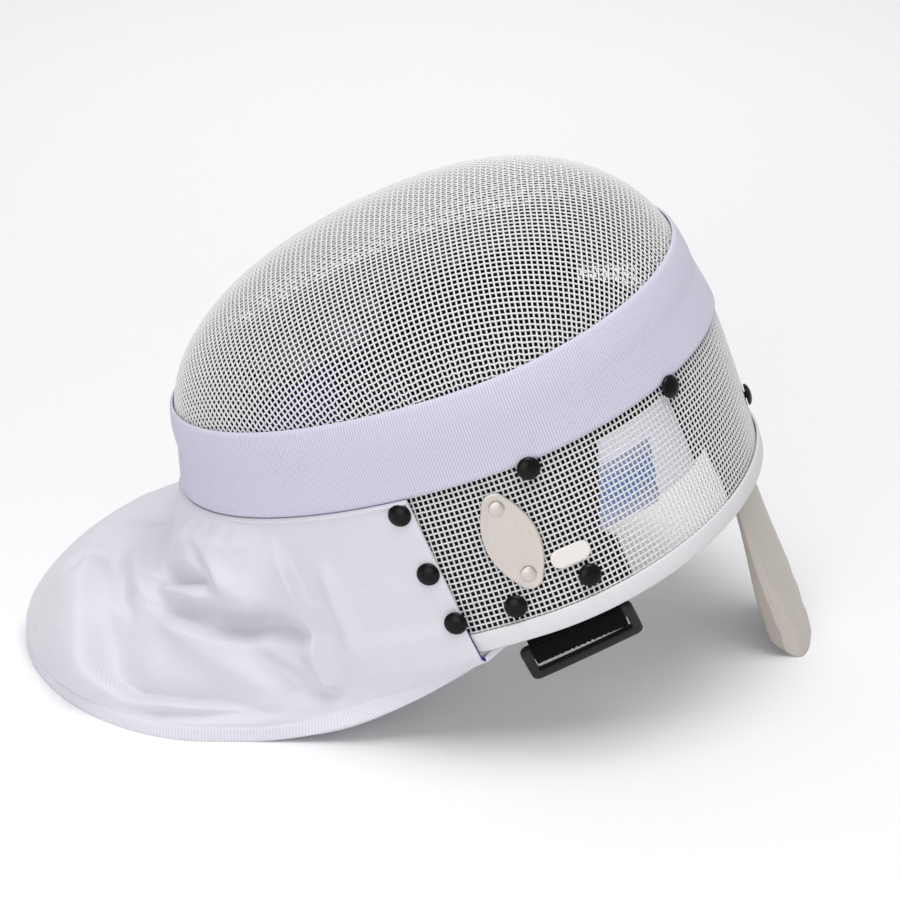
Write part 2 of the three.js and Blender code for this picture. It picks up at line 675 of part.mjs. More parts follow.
// A rivet's turned profile: domed cap at +Z, shank through the stack, washer inside.
function rivetBody(head, rise, grip) {
  const washer = head === RIVET_HEAD ? WASHER : 0.75 * head;
  const outline = [
    [0, rise],
    [0.8 * head, 0.6 * rise],
    [head, 0],
    [SHANK, 0],
    [SHANK, -grip],
    [washer, -grip],
    [washer, -grip - WASHER_THICK],
    [0, -grip - WASHER_THICK],
  ].map(([r, z]) => new THREE.Vector2(r, z));
  return new THREE.LatheGeometry(outline.reverse(), RIVET_SIDES).rotateX(Math.PI / 2);
}

const holes = [];
function rivet(name, angle, depth, under, grip, head = RIVET_HEAD, rise = RIVET_RISE, look = BLACK_CAP) {
  const group = standOnWall(new THREE.Group(), angle, depth, under);
  piece(name, rivetBody(head, rise, grip), look, group);
  const reach = (SHANK + GAP) / Math.cos(Math.PI / BORE_SIDES);
  const bore = new THREE.CylinderGeometry(reach, reach, BORE_LONG, BORE_SIDES).rotateX(Math.PI / 2);
  const cutter = new THREE.Mesh(bore);
  group.add(cutter);
  group.updateMatrixWorld(true);
  cutter.geometry.applyMatrix4(cutter.matrixWorld);
  cutter.removeFromParent();
  holes.push(cutter);
}

const webDepth = 2 * WEB_THICK + GAP;
const insideMesh = MESH_THICK + 2 * GAP;
function sideRivets(side, word) {
  for (const [name, share, angle, holds] of SIDE_RIVETS.rows) {
    const depth = share * SIDE_DEPTH;
    const low = smooth((depth + RIVET_HEAD - 0.8 * SIDE_DEPTH) / 10) * (BINDING_THICK + GAP);
    const cloth = BIB_EASE + BIB_THICK + low + GAP;
    const under = holds === "bib" ? cloth : holds === "band" ? BAND_THICK + 2 * GAP : GAP;
    const behind = holds === "strap" ? insideMesh + GAP + webDepth : insideMesh;
    rivet(`${name}_${word}`, side * rad(angle), depth, under, under + behind);
  }
}

// The identity plate, bare, with rounded tips and a swelling middle, held by two small rivets.
function plateBody() {
  const half = PLATE_LONG / 2 - PLATE_TIP;
  const lean = Math.atan2(PLATE_WIDE / 2 - PLATE_TIP, half);
  const tip = vec(half + PLATE_TIP * Math.sin(lean), PLATE_TIP * Math.cos(lean), 0);
  const shape = new THREE.Shape();
  shape.moveTo(tip.x, -tip.y);
  shape.absarc(half, 0, PLATE_TIP, -Math.PI / 2 + lean, Math.PI / 2 - lean, false);
  shape.quadraticCurveTo(0, PLATE_WIDE - tip.y, -tip.x, tip.y);
  shape.absarc(-half, 0, PLATE_TIP, Math.PI / 2 + lean, (3 * Math.PI) / 2 - lean, false);
  shape.quadraticCurveTo(0, -(PLATE_WIDE - tip.y), tip.x, -tip.y);
  return new THREE.ExtrudeGeometry(shape, { depth: PLATE_THICK, bevelEnabled: false, curveSegments: 6 });
}
function idPlate() {
  const [share, angle] = PLATE_AT;
  const spin = rad(PLATE_TURN);
  const group = standOnWall(new THREE.Group(), -rad(angle), share * SIDE_DEPTH, GAP, spin);
  const plate = piece("id_plate", plateBody(), PLATE_METAL, group);
  group.updateMatrixWorld(true);
  plate.geometry.applyMatrix4(plate.matrixWorld);
  mask.add(plate);
  const radius = wallRadius(rad(angle), share * SIDE_DEPTH);
  [-1, 1].forEach((end, k) => {
    const along = (end * PLATE_RIVET_SPAN) / 2;
    const depth = share * SIDE_DEPTH + along * Math.cos(spin);
    const turned = -rad(angle) + (along * Math.sin(spin)) / radius;
    const under = 2 * GAP + PLATE_THICK + GAP;
    const name = `plate_rivet_${k + 1}`;
    rivet(name, turned, depth, under, under + insideMesh, PLATE_RIVET_HEAD, PLATE_RIVET_RISE, PLATE_METAL);
  });
  return plate;
}
function blankLabel() {
  const half = LABEL_LONG / 2 - LABEL_WIDE / 2;
  const shape = new THREE.Shape();
  shape.absarc(0, half, LABEL_WIDE / 2, 0, Math.PI, false);
  shape.absarc(0, -half, LABEL_WIDE / 2, Math.PI, 2 * Math.PI, false);
  const [share, angle] = LABEL_AT;
  const group = standOnWall(new THREE.Group(), -rad(angle), share * SIDE_DEPTH, GAP);
  const sheet = { depth: LABEL_THICK, bevelEnabled: false, curveSegments: 5 };
  piece("blank_label", new THREE.ExtrudeGeometry(shape, sheet), LABEL_SKIN, group);
}

// The buckle's own frame on one side: across the rim, down the buckle, and out to the wearer's side.
function buckleFrame(side) {
  const at = side * rad(BUCKLE_ANGLE);
  const inset = MESH_THICK + 3 * GAP + BINDING_THICK + WEB_THICK + GAP / 2;
  const top = wallPoint(at, SIDE_DEPTH + BUCKLE_DROP, -inset);
  const aside = side * 0.15;
  const chord = wallPoint(at - aside, SIDE_DEPTH).sub(wallPoint(at + aside, SIDE_DEPTH)).normalize();
  const inwards = direction(0, -side, 0);
  const flat = chord.clone().cross(direction(0, 0, -1)).normalize();
  const out = flat.dot(inwards) < 0 ? flat : flat.negate();
  const across = chord.applyAxisAngle(out, -side * rad(BUCKLE_ROLL));
  const down = across.clone().cross(out).normalize();
  if (down.z > 0) down.negate();
  const lean = down.clone().multiplyScalar(Math.cos(rad(BUCKLE_LEAN)));
  lean.addScaledVector(out, -Math.sin(rad(BUCKLE_LEAN)));
  const normal = out.multiplyScalar(Math.cos(rad(BUCKLE_LEAN)));
  normal.addScaledVector(down, Math.sin(rad(BUCKLE_LEAN)));
  return { top, across, down: lean, normal };
}

function rounded(target, width, low, high, corner) {
  const x = width / 2;
  target.moveTo(-x + corner, low);
  target.absarc(x - corner, low + corner, corner, -Math.PI / 2, 0, false);
  target.absarc(x - corner, high - corner, corner, 0, Math.PI / 2, false);
  target.absarc(-x + corner, high - corner, corner, Math.PI / 2, Math.PI, false);
  target.absarc(-x + corner, low + corner, corner, Math.PI, (3 * Math.PI) / 2, false);
  return target;
}
function buckle(side, word) {
  const frame = buckleFrame(side);
  const shape = rounded(new THREE.Shape(), BUCKLE_WIDE, 0, BUCKLE_TALL, BUCKLE_CORNER);
  const window = [BUCKLE_TOP_BAR, BUCKLE_TALL - BUCKLE_LOW_BAR];
  shape.holes.push(rounded(new THREE.Path(), BUCKLE_WIDE - 2 * BUCKLE_SIDE_BAR, ...window, 1.5));
  const bar = { depth: BUCKLE_THICK, bevelEnabled: false, curveSegments: 3 };
  const body = new THREE.ExtrudeGeometry(shape, bar);
  body.translate(0, 0, -BUCKLE_THICK / 2);
  const mesh = piece(`buckle_${word}`, body, BUCKLE_PLASTIC);
  const across = frame.across.clone();
  if (across.clone().cross(frame.down).dot(frame.normal) < 0) across.negate();
  mesh.quaternion.setFromRotationMatrix(new THREE.Matrix4().makeBasis(across, frame.down, frame.normal));
  mesh.position.copy(frame.top);
  return mesh;
}

// The strap loop: webbing down from its rivets inside the mesh, round the buckle's top bar and back up.
function strapLoop(side, word) {
  const frame = buckleFrame(side);
  const steps = 3;
  const outerFace = MESH_THICK + 2 * GAP;
  const lipFace = outerFace + BINDING_THICK + GAP;
  const lipTop = SIDE_DEPTH - BINDING_INNER_LIP;
  const bar = BUCKLE_THICK / 2 + GAP;
  const rings = [];
  const webTop = WEB_TOP * SIDE_DEPTH;
  for (let n = 0; n <= steps; n++) {
    const x = (n / steps - 0.5) * WEB_WIDE;
    const wall = (depth, inset) => {
      const angle = rad(mix(STRAP_ANGLE, BUCKLE_ANGLE, (depth - webTop) / (SIDE_DEPTH - webTop)));
      return wallPoint(side * (angle - x / wallRadius(angle, SIDE_DEPTH)), depth, -inset);
    };
    const middle = frame.top.clone().addScaledVector(frame.across, x);
    const low = (down, out) =>
      middle.clone().addScaledVector(frame.down, down).addScaledVector(frame.normal, out);
    const layer = (extra) => [
      wall(webTop, outerFace + extra),
      wall(lipTop - WEB_BENDS, outerFace + extra),
      wall(lipTop - 1, lipFace + extra),
      wall(SIDE_DEPTH + BINDING_THICK + GAP, lipFace + extra),
    ];
    const front = layer(0);
    const back = layer(webDepth);
    const top = -2 * GAP;
    const bottom = BUCKLE_TOP_BAR + GAP;
    const edge = bar + WEB_THICK;
    const round = [low(top, edge), low(bottom, edge), low(bottom + WEB_THICK, bar)];
    const under = [low(bottom + WEB_THICK, -bar), low(bottom, -edge), low(top, -edge)];
    const hollow = [low(top, bar), low(bottom, bar), low(bottom, -bar), low(top, -bar)];
    const inner = [...layer(WEB_THICK), ...hollow, ...layer(WEB_THICK + GAP).reverse()];
    rings.push([...front, ...round, ...under, ...back.reverse(), ...inner.reverse()]);
  }
  const flat = rings[0].map((p) => {
    const q = p.clone().sub(frame.top);
    return new THREE.Vector2(q.dot(frame.down), q.dot(frame.normal));
  });
  return piece(`strap_loop_${word}`, loftBody(rings, flat), WEBBING);
}

const SIDES = [
  [-1, "left"],
  [1, "right"],
];
piece("front_mesh", frontMesh(), MESH_PAINT);
const side = piece("side_mesh", sideMesh(), MESH_PAINT);
piece("trim_band", trimBand(), ELASTIC);
piece("rim_binding", rimBinding(), TRIM_PLASTIC);
const bib = piece("bib", bibCloth(), BIB_CLOTH);
piece("bib_lining", bibLining(), LINING_CLOTH);
piece("bib_hem", hemTape(), BIB_CLOTH);
piece("head_pad", headPad(), PAD_CLOTH);
const tongue = piece("tongue", tongueStrip(), VINYL);
const straps = SIDES.map(([sign, word]) => strapLoop(sign, word));
for (const [sign, word] of SIDES) {
  sideRivets(sign, word);
  buckle(sign, word);
  piece(`pad_panel_${word}`, padPanel(sign), PANEL_CLOTH);
}
rivet("crown_rivet", 0, CROWN_RIVET_DEPTH, GAP, insideMesh + TONGUE.rows[0][1] + 4 * GAP);
const plate = idPlate();
blankLabel();
for (const held of [side, bib, tongue, plate, ...straps]) pierce(held, holes);

// The whole mask stands with the middle of its base at the origin.
const extent = new THREE.Box3().setFromObject(mask);
const middle = extent.getCenter(vec(0, 0, 0));
mask.position.set(-middle.x, -middle.y, -extent.min.z);

export default mask;
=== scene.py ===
import math

import bpy
import numpy as np
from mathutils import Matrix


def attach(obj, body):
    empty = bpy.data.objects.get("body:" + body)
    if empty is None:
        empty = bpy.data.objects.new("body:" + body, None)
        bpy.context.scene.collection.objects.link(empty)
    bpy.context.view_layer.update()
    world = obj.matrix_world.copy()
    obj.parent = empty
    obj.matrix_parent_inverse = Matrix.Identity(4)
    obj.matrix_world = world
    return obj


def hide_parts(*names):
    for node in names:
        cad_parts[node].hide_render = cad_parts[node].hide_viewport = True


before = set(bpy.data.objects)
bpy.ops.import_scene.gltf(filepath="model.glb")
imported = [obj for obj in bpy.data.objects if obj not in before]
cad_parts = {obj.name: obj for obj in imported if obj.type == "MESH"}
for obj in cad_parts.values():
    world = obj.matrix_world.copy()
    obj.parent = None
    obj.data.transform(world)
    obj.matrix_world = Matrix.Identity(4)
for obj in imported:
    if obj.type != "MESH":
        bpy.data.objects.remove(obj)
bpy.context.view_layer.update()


# The table the mask is photographed on: a sheet of white paper that runs on into a white
# backdrop, one big soft light above and to the left, and a long lens a little above the mask.
def linear(hex_colour):
    parts = [int(hex_colour[i:i + 2], 16) / 255 for i in (1, 3, 5)]
    return tuple(p / 12.92 if p <= 0.04045 else ((p + 0.055) / 1.055) ** 2.4 for p in parts) + (1.0,)


def add_node(material, kind, links=None, **settings):
    node = material.node_tree.nodes.new(kind)
    for key, value in settings.items():
        setattr(node, key, value)
    for socket, value in (links or {}).items():
        if isinstance(value, bpy.types.NodeSocket):
            material.node_tree.links.new(value, node.inputs[socket])
        else:
            node.inputs[socket].default_value = value
    return node


def new_material(name, values):
    material = bpy.data.materials.new(name)
    material.use_nodes = True
    skin = material.node_tree.nodes["Principled BSDF"]
    for socket, value in values.items():
        skin.inputs[socket].default_value = value
    return material, skin


def join(material, output, socket):
    material.node_tree.links.new(output, socket)


CAMERA_RISE, CAMERA_AWAY, CAMERA_AIM = 25.2, 1.5, np.array([0.01852, 0.0, 0.1113])
scene = bpy.context.scene
scene.view_settings.view_transform = "Standard"
scene.view_settings.look = "None"
camera_data = bpy.data.cameras.new("table_camera")
camera_data.lens, camera_data.sensor_width = 111.1, 36
camera = bpy.data.objects.new("table_camera", camera_data)
scene.collection.objects.link(camera)
rise = math.radians(CAMERA_RISE)
camera.location = CAMERA_AIM + CAMERA_AWAY * np.array([0.0, -math.cos(rise), math.sin(rise)])
camera.rotation_euler = (math.radians(90 - CAMERA_RISE), 0, 0)
scene.camera = camera

SWEEP_NEAR, SWEEP_BEND, BEND_RADIUS, SWEEP_TOP, SWEEP_HALF = -2.4, 1.7, 0.6, 2.2, 3.2
paper, paper_skin = new_material("white_paper_sweep", {"Base Color": linear("#F5F5F6"), "Roughness": 0.9})
grain = add_node(paper, "ShaderNodeTexNoise", {"Scale": 900.0, "Detail": 3.0})
tooth = add_node(paper, "ShaderNodeBump", {"Strength": 0.04, "Height": grain.outputs["Fac"]})
join(paper, tooth.outputs[0], paper_skin.inputs["Normal"])
bend = [(SWEEP_BEND + BEND_RADIUS * math.sin(a), BEND_RADIUS - BEND_RADIUS * math.cos(a))
    for a in np.linspace(0.1, math.pi / 2, 12)]
bend = [(SWEEP_NEAR, 0.0), (SWEEP_BEND, 0.0)] + bend + [(SWEEP_BEND + BEND_RADIUS, SWEEP_TOP)]
sweep = bpy.data.meshes.new("paper_sweep")
sweep.from_pydata([(x, y, z) for y, z in bend for x in (-SWEEP_HALF, SWEEP_HALF)], [],
    [(2 * k, 2 * k + 1, 2 * k + 3, 2 * k + 2) for k in range(len(bend) - 1)])
sweep.polygons.foreach_set("use_smooth", np.ones(len(sweep.polygons), bool))
floor = bpy.data.objects.new("paper_sweep", sweep)
scene.collection.objects.link(floor)
sweep.materials.append(paper)

world = bpy.data.worlds.new("white_room")
scene.world = world
world.use_nodes = True
world.node_tree.nodes["Background"].inputs["Color"].default_value = linear("#FFFFFF")
world.node_tree.nodes["Background"].inputs["Strength"].default_value = 0.5
for light_name, place_m, turn, size, power in [
        ("soft_box_above", (0.05, -0.3, 1.75), (0.15, 0.03, 0), 1.2, 18.5),
        ("paper_light", (0, 0.9, 1.2), (1.05, 0, 0), 0.8, 4.5),
        ("soft_box_front", (-0.6, -2.0, 0.75), (1.24, 0, -0.28), 1.4, 11.5)]:
    lamp_data = bpy.data.lights.new(light_name, "AREA")
    lamp_data.size, lamp_data.energy = size, power
    lamp = bpy.data.objects.new(light_name, lamp_data)
    lamp.location, lamp.rotation_euler = place_m, turn
    scene.collection.objects.link(lamp)


# The face: a flat square-woven sheet of 1.2 mm steel wire, pressed over a form into a deep oval
# dish. The net shears at its corners as it is pressed. It is painted white outside, and dark
# inside so that the wearer isn't dazzled.
TILT = math.radians(20)
SEAM_HEIGHT = 177.99
CHIN_REACH, CROWN_REACH, HALF_WIDTH, OUTLINE_POWER = 166.5, 121.5, 121, 1.95
FACE_RISE, FACE_FULLNESS, FACE_SHOULDER = 82.5, 2.6, 1.98
WIRE_PITCH, WIRE_RADIUS, WIRE_WAVE, SHEET_MIDDLE = 3.05, 0.5, 0.2, 1.0
WIRES_AHEAD, WIRES_BEHIND, WIRES_ACROSS, PAST_SEAM, PULLS, PULL_SHARE = 60, 74, 62, 24, 160, 1.6


def in_world(u, v, w):
    u, v, w = np.broadcast_arrays(np.asarray(u, float), v, w)
    x = u * math.cos(TILT) - w * math.sin(TILT)
    z = SEAM_HEIGHT + u * math.sin(TILT) + w * math.cos(TILT)
    return np.stack([x, v, z], -1)


DOWN = in_world(0, 0, -1) - in_world(0, 0, 0)


def unit(vectors):
    return vectors / np.maximum(np.linalg.norm(vectors, axis=-1, keepdims=True), 1e-12)


def outline(angle, chin, crown, half):
    c, s = np.cos(angle), np.sin(angle)
    along = np.abs(c / np.where(c > 0, crown, chin)) ** OUTLINE_POWER
    return (along + np.abs(s / half) ** OUTLINE_POWER) ** (-1 / OUTLINE_POWER)


def face_point(angle, rho, out=0.0):
    r = (outline(angle, CHIN_REACH, CROWN_REACH, HALF_WIDTH) + out) * rho
    w = (FACE_RISE + out) * np.maximum(1 - rho ** FACE_FULLNESS, 0) ** (1 / FACE_SHOULDER)
    return in_world(r * np.cos(angle), r * np.sin(angle), w)


def dish(points):
    """How full the dish is at points in the mask's own frame, and the way out of it."""
    u, v, w = points[..., 0], points[..., 1], np.maximum(points[..., 2], 0)
    a = np.abs(u) / np.where(u > 0, CROWN_REACH, CHIN_REACH)
    b = np.abs(v) / HALF_WIDTH
    rho = np.maximum((a ** OUTLINE_POWER + b ** OUTLINE_POWER) ** (1 / OUTLINE_POWER), 1e-6)
    steep = FACE_FULLNESS * rho ** (FACE_FULLNESS - OUTLINE_POWER)
    out_u = steep * a ** (OUTLINE_POWER - 1) * np.sign(u) / np.where(u > 0, CROWN_REACH, CHIN_REACH)
    out_v = steep * b ** (OUTLINE_POWER - 1) * np.sign(v) / HALF_WIDTH
    out_w = FACE_SHOULDER * (w / FACE_RISE) ** (FACE_SHOULDER - 1) / FACE_RISE
    return rho, w / FACE_RISE, unit(np.stack([out_u, out_v, out_w], -1))


def onto_dish(points):
    rho, rise, _ = dish(points)
    k = np.ones_like(rho)
    for _ in range(4):
        round_part, high_part = (k * rho) ** FACE_FULLNESS, (k * rise) ** FACE_SHOULDER
        slope = FACE_FULLNESS * round_part + FACE_SHOULDER * high_part + 1e-9
        k -= (round_part + high_part - 1) / slope * k
        k = np.clip(k, 0.3, 40)
    pressed = points * k[..., None]
    pressed[..., 2] = np.where(points[..., 2] < 0, points[..., 2], pressed[..., 2])
    return pressed


def pressed_net():
    """Where the wires of a flat net cross once it is pressed, from many small pulls to even gaps."""
    i, j = np.meshgrid(np.arange(-WIRES_BEHIND, WIRES_AHEAD + 1), np.arange(-WIRES_ACROSS, WIRES_ACROSS + 1),
        indexing="ij")
    reach = WIRE_PITCH * np.hypot(i, j)
    angle = np.arctan2(j, i)
    edge = outline(angle, CHIN_REACH, CROWN_REACH, HALF_WIDTH)
    steps = np.linspace(0, 1, 200)
    heights = FACE_RISE * (1 - steps ** FACE_FULLNESS) ** (1 / FACE_SHOULDER)
    flat = edge[..., None] * np.diff(steps)
    arcs = np.cumsum(np.hypot(flat, np.diff(heights)), -1)
    share = np.zeros_like(reach)
    for k in np.ndindex(reach.shape):
        share[k] = np.interp(reach[k], np.r_[0, arcs[k]], steps)
    over = np.maximum(reach - arcs[..., -1], 0)
    net = np.stack([edge * share * np.cos(angle), edge * share * np.sin(angle),
        FACE_RISE * (1 - share ** FACE_FULLNESS) ** (1 / FACE_SHOULDER) - over], -1)
    live = over < PAST_SEAM
    pairs = [((1, 0), 1.0, 1.0), ((0, 1), 1.0, 1.0), ((1, 1), 2 ** 0.5, 0.1), ((1, -1), 2 ** 0.5, 0.1)]
    for _ in range(PULLS):
        move = np.zeros_like(net)
        count = np.zeros(live.shape)
        for (di, dj), stretch, weight in pairs:
            low_j = slice(max(-dj, 0), net.shape[1] - max(dj, 0))
            high_j = slice(max(dj, 0), net.shape[1] - max(-dj, 0))
            a, b = (slice(0, net.shape[0] - di), low_j), (slice(di, None), high_j)
            run = net[b] - net[a]
            length = np.linalg.norm(run, axis=-1, keepdims=True)
            both = (live[a] & live[b]) * weight
            pull = run * (0.5 * (length - stretch * WIRE_PITCH) / np.maximum(length, 1e-9)) * both[..., None]
            move[a] += pull
            move[b] -= pull
            count[a] += both
            count[b] += both
        net = onto_dish(net + PULL_SHARE * move / np.maximum(count, 1)[..., None])
    return net, live


def patterned(material, skin, factor, dark, pale, relief=None, height=None):
    """Colour between two tones by a pattern, and a relief of it: its strength and its depth in m."""
    pale = linear(pale) if isinstance(pale, str) else pale
    tone = add_node(material, "ShaderNodeMix", {"Factor": factor, "A": linear(dark), "B": pale},
        data_type="RGBA")
    join(material, tone.outputs["Result"], skin.inputs["Base Color"])
    if relief:
        bump = add_node(material, "ShaderNodeBump", {"Strength": relief[0], "Distance": relief[1],
            "Height": factor if height is None else height})
        join(material, bump.outputs[0], skin.inputs["Normal"])
    return tone.outputs["Result"]


def grainy(name, scale, detail, dark, pale, values, relief=None):
    """A finish with a random grain between two tones."""
    material, skin = new_material(name, values)
    grain = add_node(material, "ShaderNodeTexNoise", {"Scale": scale, "Detail": detail}).outputs["Fac"]
    return material, skin, grain, patterned(material, skin, grain, dark, pale, relief)


# Powder coat is thin and slightly pebbled, so each wire keeps a soft highlight.
white_paint = grainy("white_powder_coat_on_wire", 700.0, 2.0, "#D6D6D7", "#E6E6E5", {"Roughness": 0.34})[0]
dark_paint = grainy("dark_paint_inside_wire", 500.0, 2.0, "#050506", "#0B0B0D", {"Roughness": 0.5})[0]


def make_piece(name, points_mm, faces, looks, uv_mm=None, face_looks=None):
    mesh = bpy.data.meshes.new(name)
    mesh.from_pydata((np.asarray(points_mm) * 0.001).tolist(), [], faces)
    for look in looks:
        mesh.materials.append(look)
    mesh.polygons.foreach_set("use_smooth", np.ones(len(mesh.polygons), bool))
    if face_looks is not None:
        mesh.polygons.foreach_set("material_index", np.asarray(face_looks, np.int32))
    if uv_mm is not None:
        layer = mesh.uv_layers.new(name="cloth_mm")
        corners = np.empty(len(mesh.loops), np.int64)
        mesh.loops.foreach_get("vertex_index", corners)
        layer.data.foreach_set("uv", np.asarray(uv_mm, float)[corners].ravel())
    mesh.validate()
    mesh.update()
    piece = bpy.data.objects.new(name, mesh)
    scene.collection.objects.link(piece)
    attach(piece, "root")
    return piece


def wire_piece(name, wires):
    """One family of wires; each wire is its points and the way out of the sheet at each of them."""
    points, faces, looks = [], [], []
    start = 0
    turn = np.radians(30 + 60 * np.arange(6))
    for path, out in wires:
        along = unit(np.gradient(path, axis=0))
        out = unit(out - along * np.sum(out * along, -1, keepdims=True))
        aside = np.cross(along, out)
        ring = out[:, None] * np.cos(turn)[:, None] + aside[:, None] * np.sin(turn)[:, None]
        points.append((path[:, None] + WIRE_RADIUS * ring).reshape(-1, 3))
        row = start + 6 * np.arange(len(path) - 1)[:, None]
        a, b = row + np.arange(6), row + (np.arange(6) + 1) % 6
        faces.append(np.stack([a, b, b + 6, a + 6], -1).reshape(-1, 4))
        looks.append(np.tile([0, 1, 1, 1, 0, 0], len(path) - 1))
        start += 6 * len(path)
    return make_piece(name, np.concatenate(points), np.concatenate(faces).tolist(), [white_paint, dark_paint],
        face_looks=np.concatenate(looks))


SHIFT = 30.12  # the middle of the mask stands over the origin
CUT_ABOVE_SEAM = 0.15
net, live = pressed_net()
_, _, net_out = dish(net)
wave = (-1.0) ** np.add.outer(np.arange(net.shape[0]), np.arange(net.shape[1]))


def net_wire(crossings, outs, waves, alive):
    """The stretches of one wire that lie on the dish above the seam, in the room's frame."""
    wires = []
    keep = alive & (crossings[:, 2] > CUT_ABOVE_SEAM)
    edges = np.flatnonzero(np.diff(np.r_[0, keep.astype(int), 0]))
    for first, last in zip(edges[::2], edges[1::2]):
        if last - first < 2:
            continue
        out = outs[first:last]
        path = crossings[first:last] + out * (waves[first:last, None] * WIRE_WAVE - SHEET_MIDDLE)
        for inner, outer in ((first, first - 1), (last - 1, last)):
            if 0 <= outer < len(crossings) and alive[outer] and crossings[outer, 2] <= CUT_ABOVE_SEAM:
                k = (crossings[inner, 2] - CUT_ABOVE_SEAM) / (crossings[inner, 2] - crossings[outer, 2])
                end = crossings[inner] * (1 - k) + crossings[outer] * k - outs[inner] * SHEET_MIDDLE
                path = np.vstack([end, path] if outer < inner else [path, end])
                out = np.vstack([out[0], out] if outer < inner else [out, out[-1]])
        room = in_world(*path.T)
        room[:, 0] += SHIFT
        wires.append((room, in_world(*out.T) - in_world(0, 0, 0)))
    return wires


lengthwise = [w for j in range(net.shape[1])
    for w in net_wire(net[:, j], net_out[:, j], wave[:, j], live[:, j])]
crosswise = [w for i in range(net.shape[0]) for w in net_wire(net[i], net_out[i], -wave[i], live[i])]
face_lengthwise = wire_piece("face_wires_lengthwise", lengthwise)
face_crosswise = wire_piece("face_wires_crosswise", crosswise)
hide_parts("front_mesh")
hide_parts("front_mesh")


# The side wall: the same woven wire, bent round the head from jaw to jaw behind the crown, with
# a narrow strip of it that runs on round the chin under the band.
SIDE_DEPTH, CHIN_STRIP, JAW_ANGLE = 110, 29.5, math.radians(135)
WALL_SECTIONS = np.array([
    # depth as a share of SIDE_DEPTH, then chin, crown and side as shares of the seam's reach
    [0.0, 1.0, 1.0, 1.0],
    [0.22, 1.045, 1.033, 1.003],
    [0.55, 1.085, 1.04, 1.045],
    [0.92, 1.11, 1.03, 1.098],
    [1.1, 1.12, 1.02, 1.115],
])


def eased(xs, ys, x):
    """A smooth curve through the points of a table."""
    slopes = np.diff(ys) / np.diff(xs)
    tangents = np.r_[slopes[0], (slopes[1:] + slopes[:-1]) / 2, slopes[-1]]
    x = np.clip(x, xs[0], xs[-1])
    i = np.clip(np.searchsorted(xs, x, side="right") - 1, 0, len(xs) - 2)
    h = (xs[1:] - xs[:-1])[i]
    t = (x - xs[i]) / h
    return ((2 * t ** 3 - 3 * t ** 2 + 1) * ys[i] + (t ** 3 - 2 * t ** 2 + t) * h * tangents[i]
        + (3 * t ** 2 - 2 * t ** 3) * ys[i + 1] + (t ** 3 - t ** 2) * h * tangents[i + 1])


def wall_radius(angle, depth):
    share = np.asarray(depth, float) / SIDE_DEPTH
    chin, crown, half = (eased(WALL_SECTIONS[:, 0], WALL_SECTIONS[:, k], share) for k in (1, 2, 3))
    return outline(angle, CHIN_REACH * chin, CROWN_REACH * crown, HALF_WIDTH * half)


def wall_point(angle, depth, out=0.0):
    angle, depth, out = np.broadcast_arrays(np.asarray(angle, float), depth, out)
    r = wall_radius(angle, depth) + out
    point = in_world(r * np.cos(angle), r * np.sin(angle), -depth)
    point[..., 0] += SHIFT
    return point


def wall_normal(angle, depth):
    angle, depth = np.broadcast_arrays(np.asarray(angle, float), depth)
    around = wall_point(angle + 0.01, depth) - wall_point(angle - 0.01, depth)
    down = wall_point(angle, depth + 1.0) - wall_point(angle, depth - 1.0)
    n = unit(np.cross(around, down))
    flip = np.sum(n * (wall_point(angle, depth, 1.0) - wall_point(angle, depth)), -1, keepdims=True) < 0
    return np.where(flip, -n, n)


MEAN_RADIUS, FIRST_WIRE = 140, 0.6
columns = 2 * round(math.pi * MEAN_RADIUS / WIRE_PITCH)
wire_angles = np.linspace(0, 2 * math.pi, columns, endpoint=False) - math.pi
wire_depths = FIRST_WIRE + WIRE_PITCH * np.arange(int((SIDE_DEPTH - FIRST_WIRE) / WIRE_PITCH) + 1)
grid_angle, grid_depth = np.meshgrid(wire_angles, wire_depths, indexing="ij")
side_points = wall_point(grid_angle, grid_depth)
side_out = wall_normal(grid_angle, grid_depth)
side_wave = (-1.0) ** np.add.outer(np.arange(columns), np.arange(len(wire_depths)))[..., None]
behind_jaw = np.abs(wire_angles) < JAW_ANGLE
strip_rows = np.count_nonzero(wire_depths < CHIN_STRIP)
upright, around = [], []
for i in range(columns):
    rows = len(wire_depths) if behind_jaw[i] else strip_rows
    path = side_points[i, :rows] + side_out[i, :rows] * (side_wave[i, :rows] * WIRE_WAVE - SHEET_MIDDLE)
    upright.append((path, side_out[i, :rows]))
for j in range(len(wire_depths)):
    path = side_points[:, j] - side_out[:, j] * (side_wave[:, j] * WIRE_WAVE + SHEET_MIDDLE)
    if j < strip_rows:
        around.append((np.vstack([path, path[:1]]), np.vstack([side_out[:, j], side_out[:1, j]])))
    else:
        around.append((path[behind_jaw], side_out[behind_jaw, j]))
side_upright = wire_piece("side_wires_upright", upright)
side_around = wire_piece("side_wires_around", around)
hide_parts("side_mesh")
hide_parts("side_mesh")


# The trim band: a wide ribbed elastic, stretched over the seam between face and side wall. Its
# ribs run across it. A thin white welt of the bib's own cloth shows along its lower edge.
BAND_ABOVE, BAND_BELOW, BAND_THICK, GAP = 22, 24.5, 1.5, 0.3


def cloth_wave(material, axis, pitch):
    """A wave along one direction of the flat cloth, with its pitch in mm."""
    place = add_node(material, "ShaderNodeUVMap", uv_map="cloth_mm")
    parts = add_node(material, "ShaderNodeSeparateXYZ", {0: place.outputs[0]})
    turns = add_node(material, "ShaderNodeMath", {0: parts.outputs[axis], 1: 2 * math.pi / pitch},
        operation="MULTIPLY")
    return add_node(material, "ShaderNodeMath", {0: turns.outputs[0]}, operation="SINE").outputs[0]


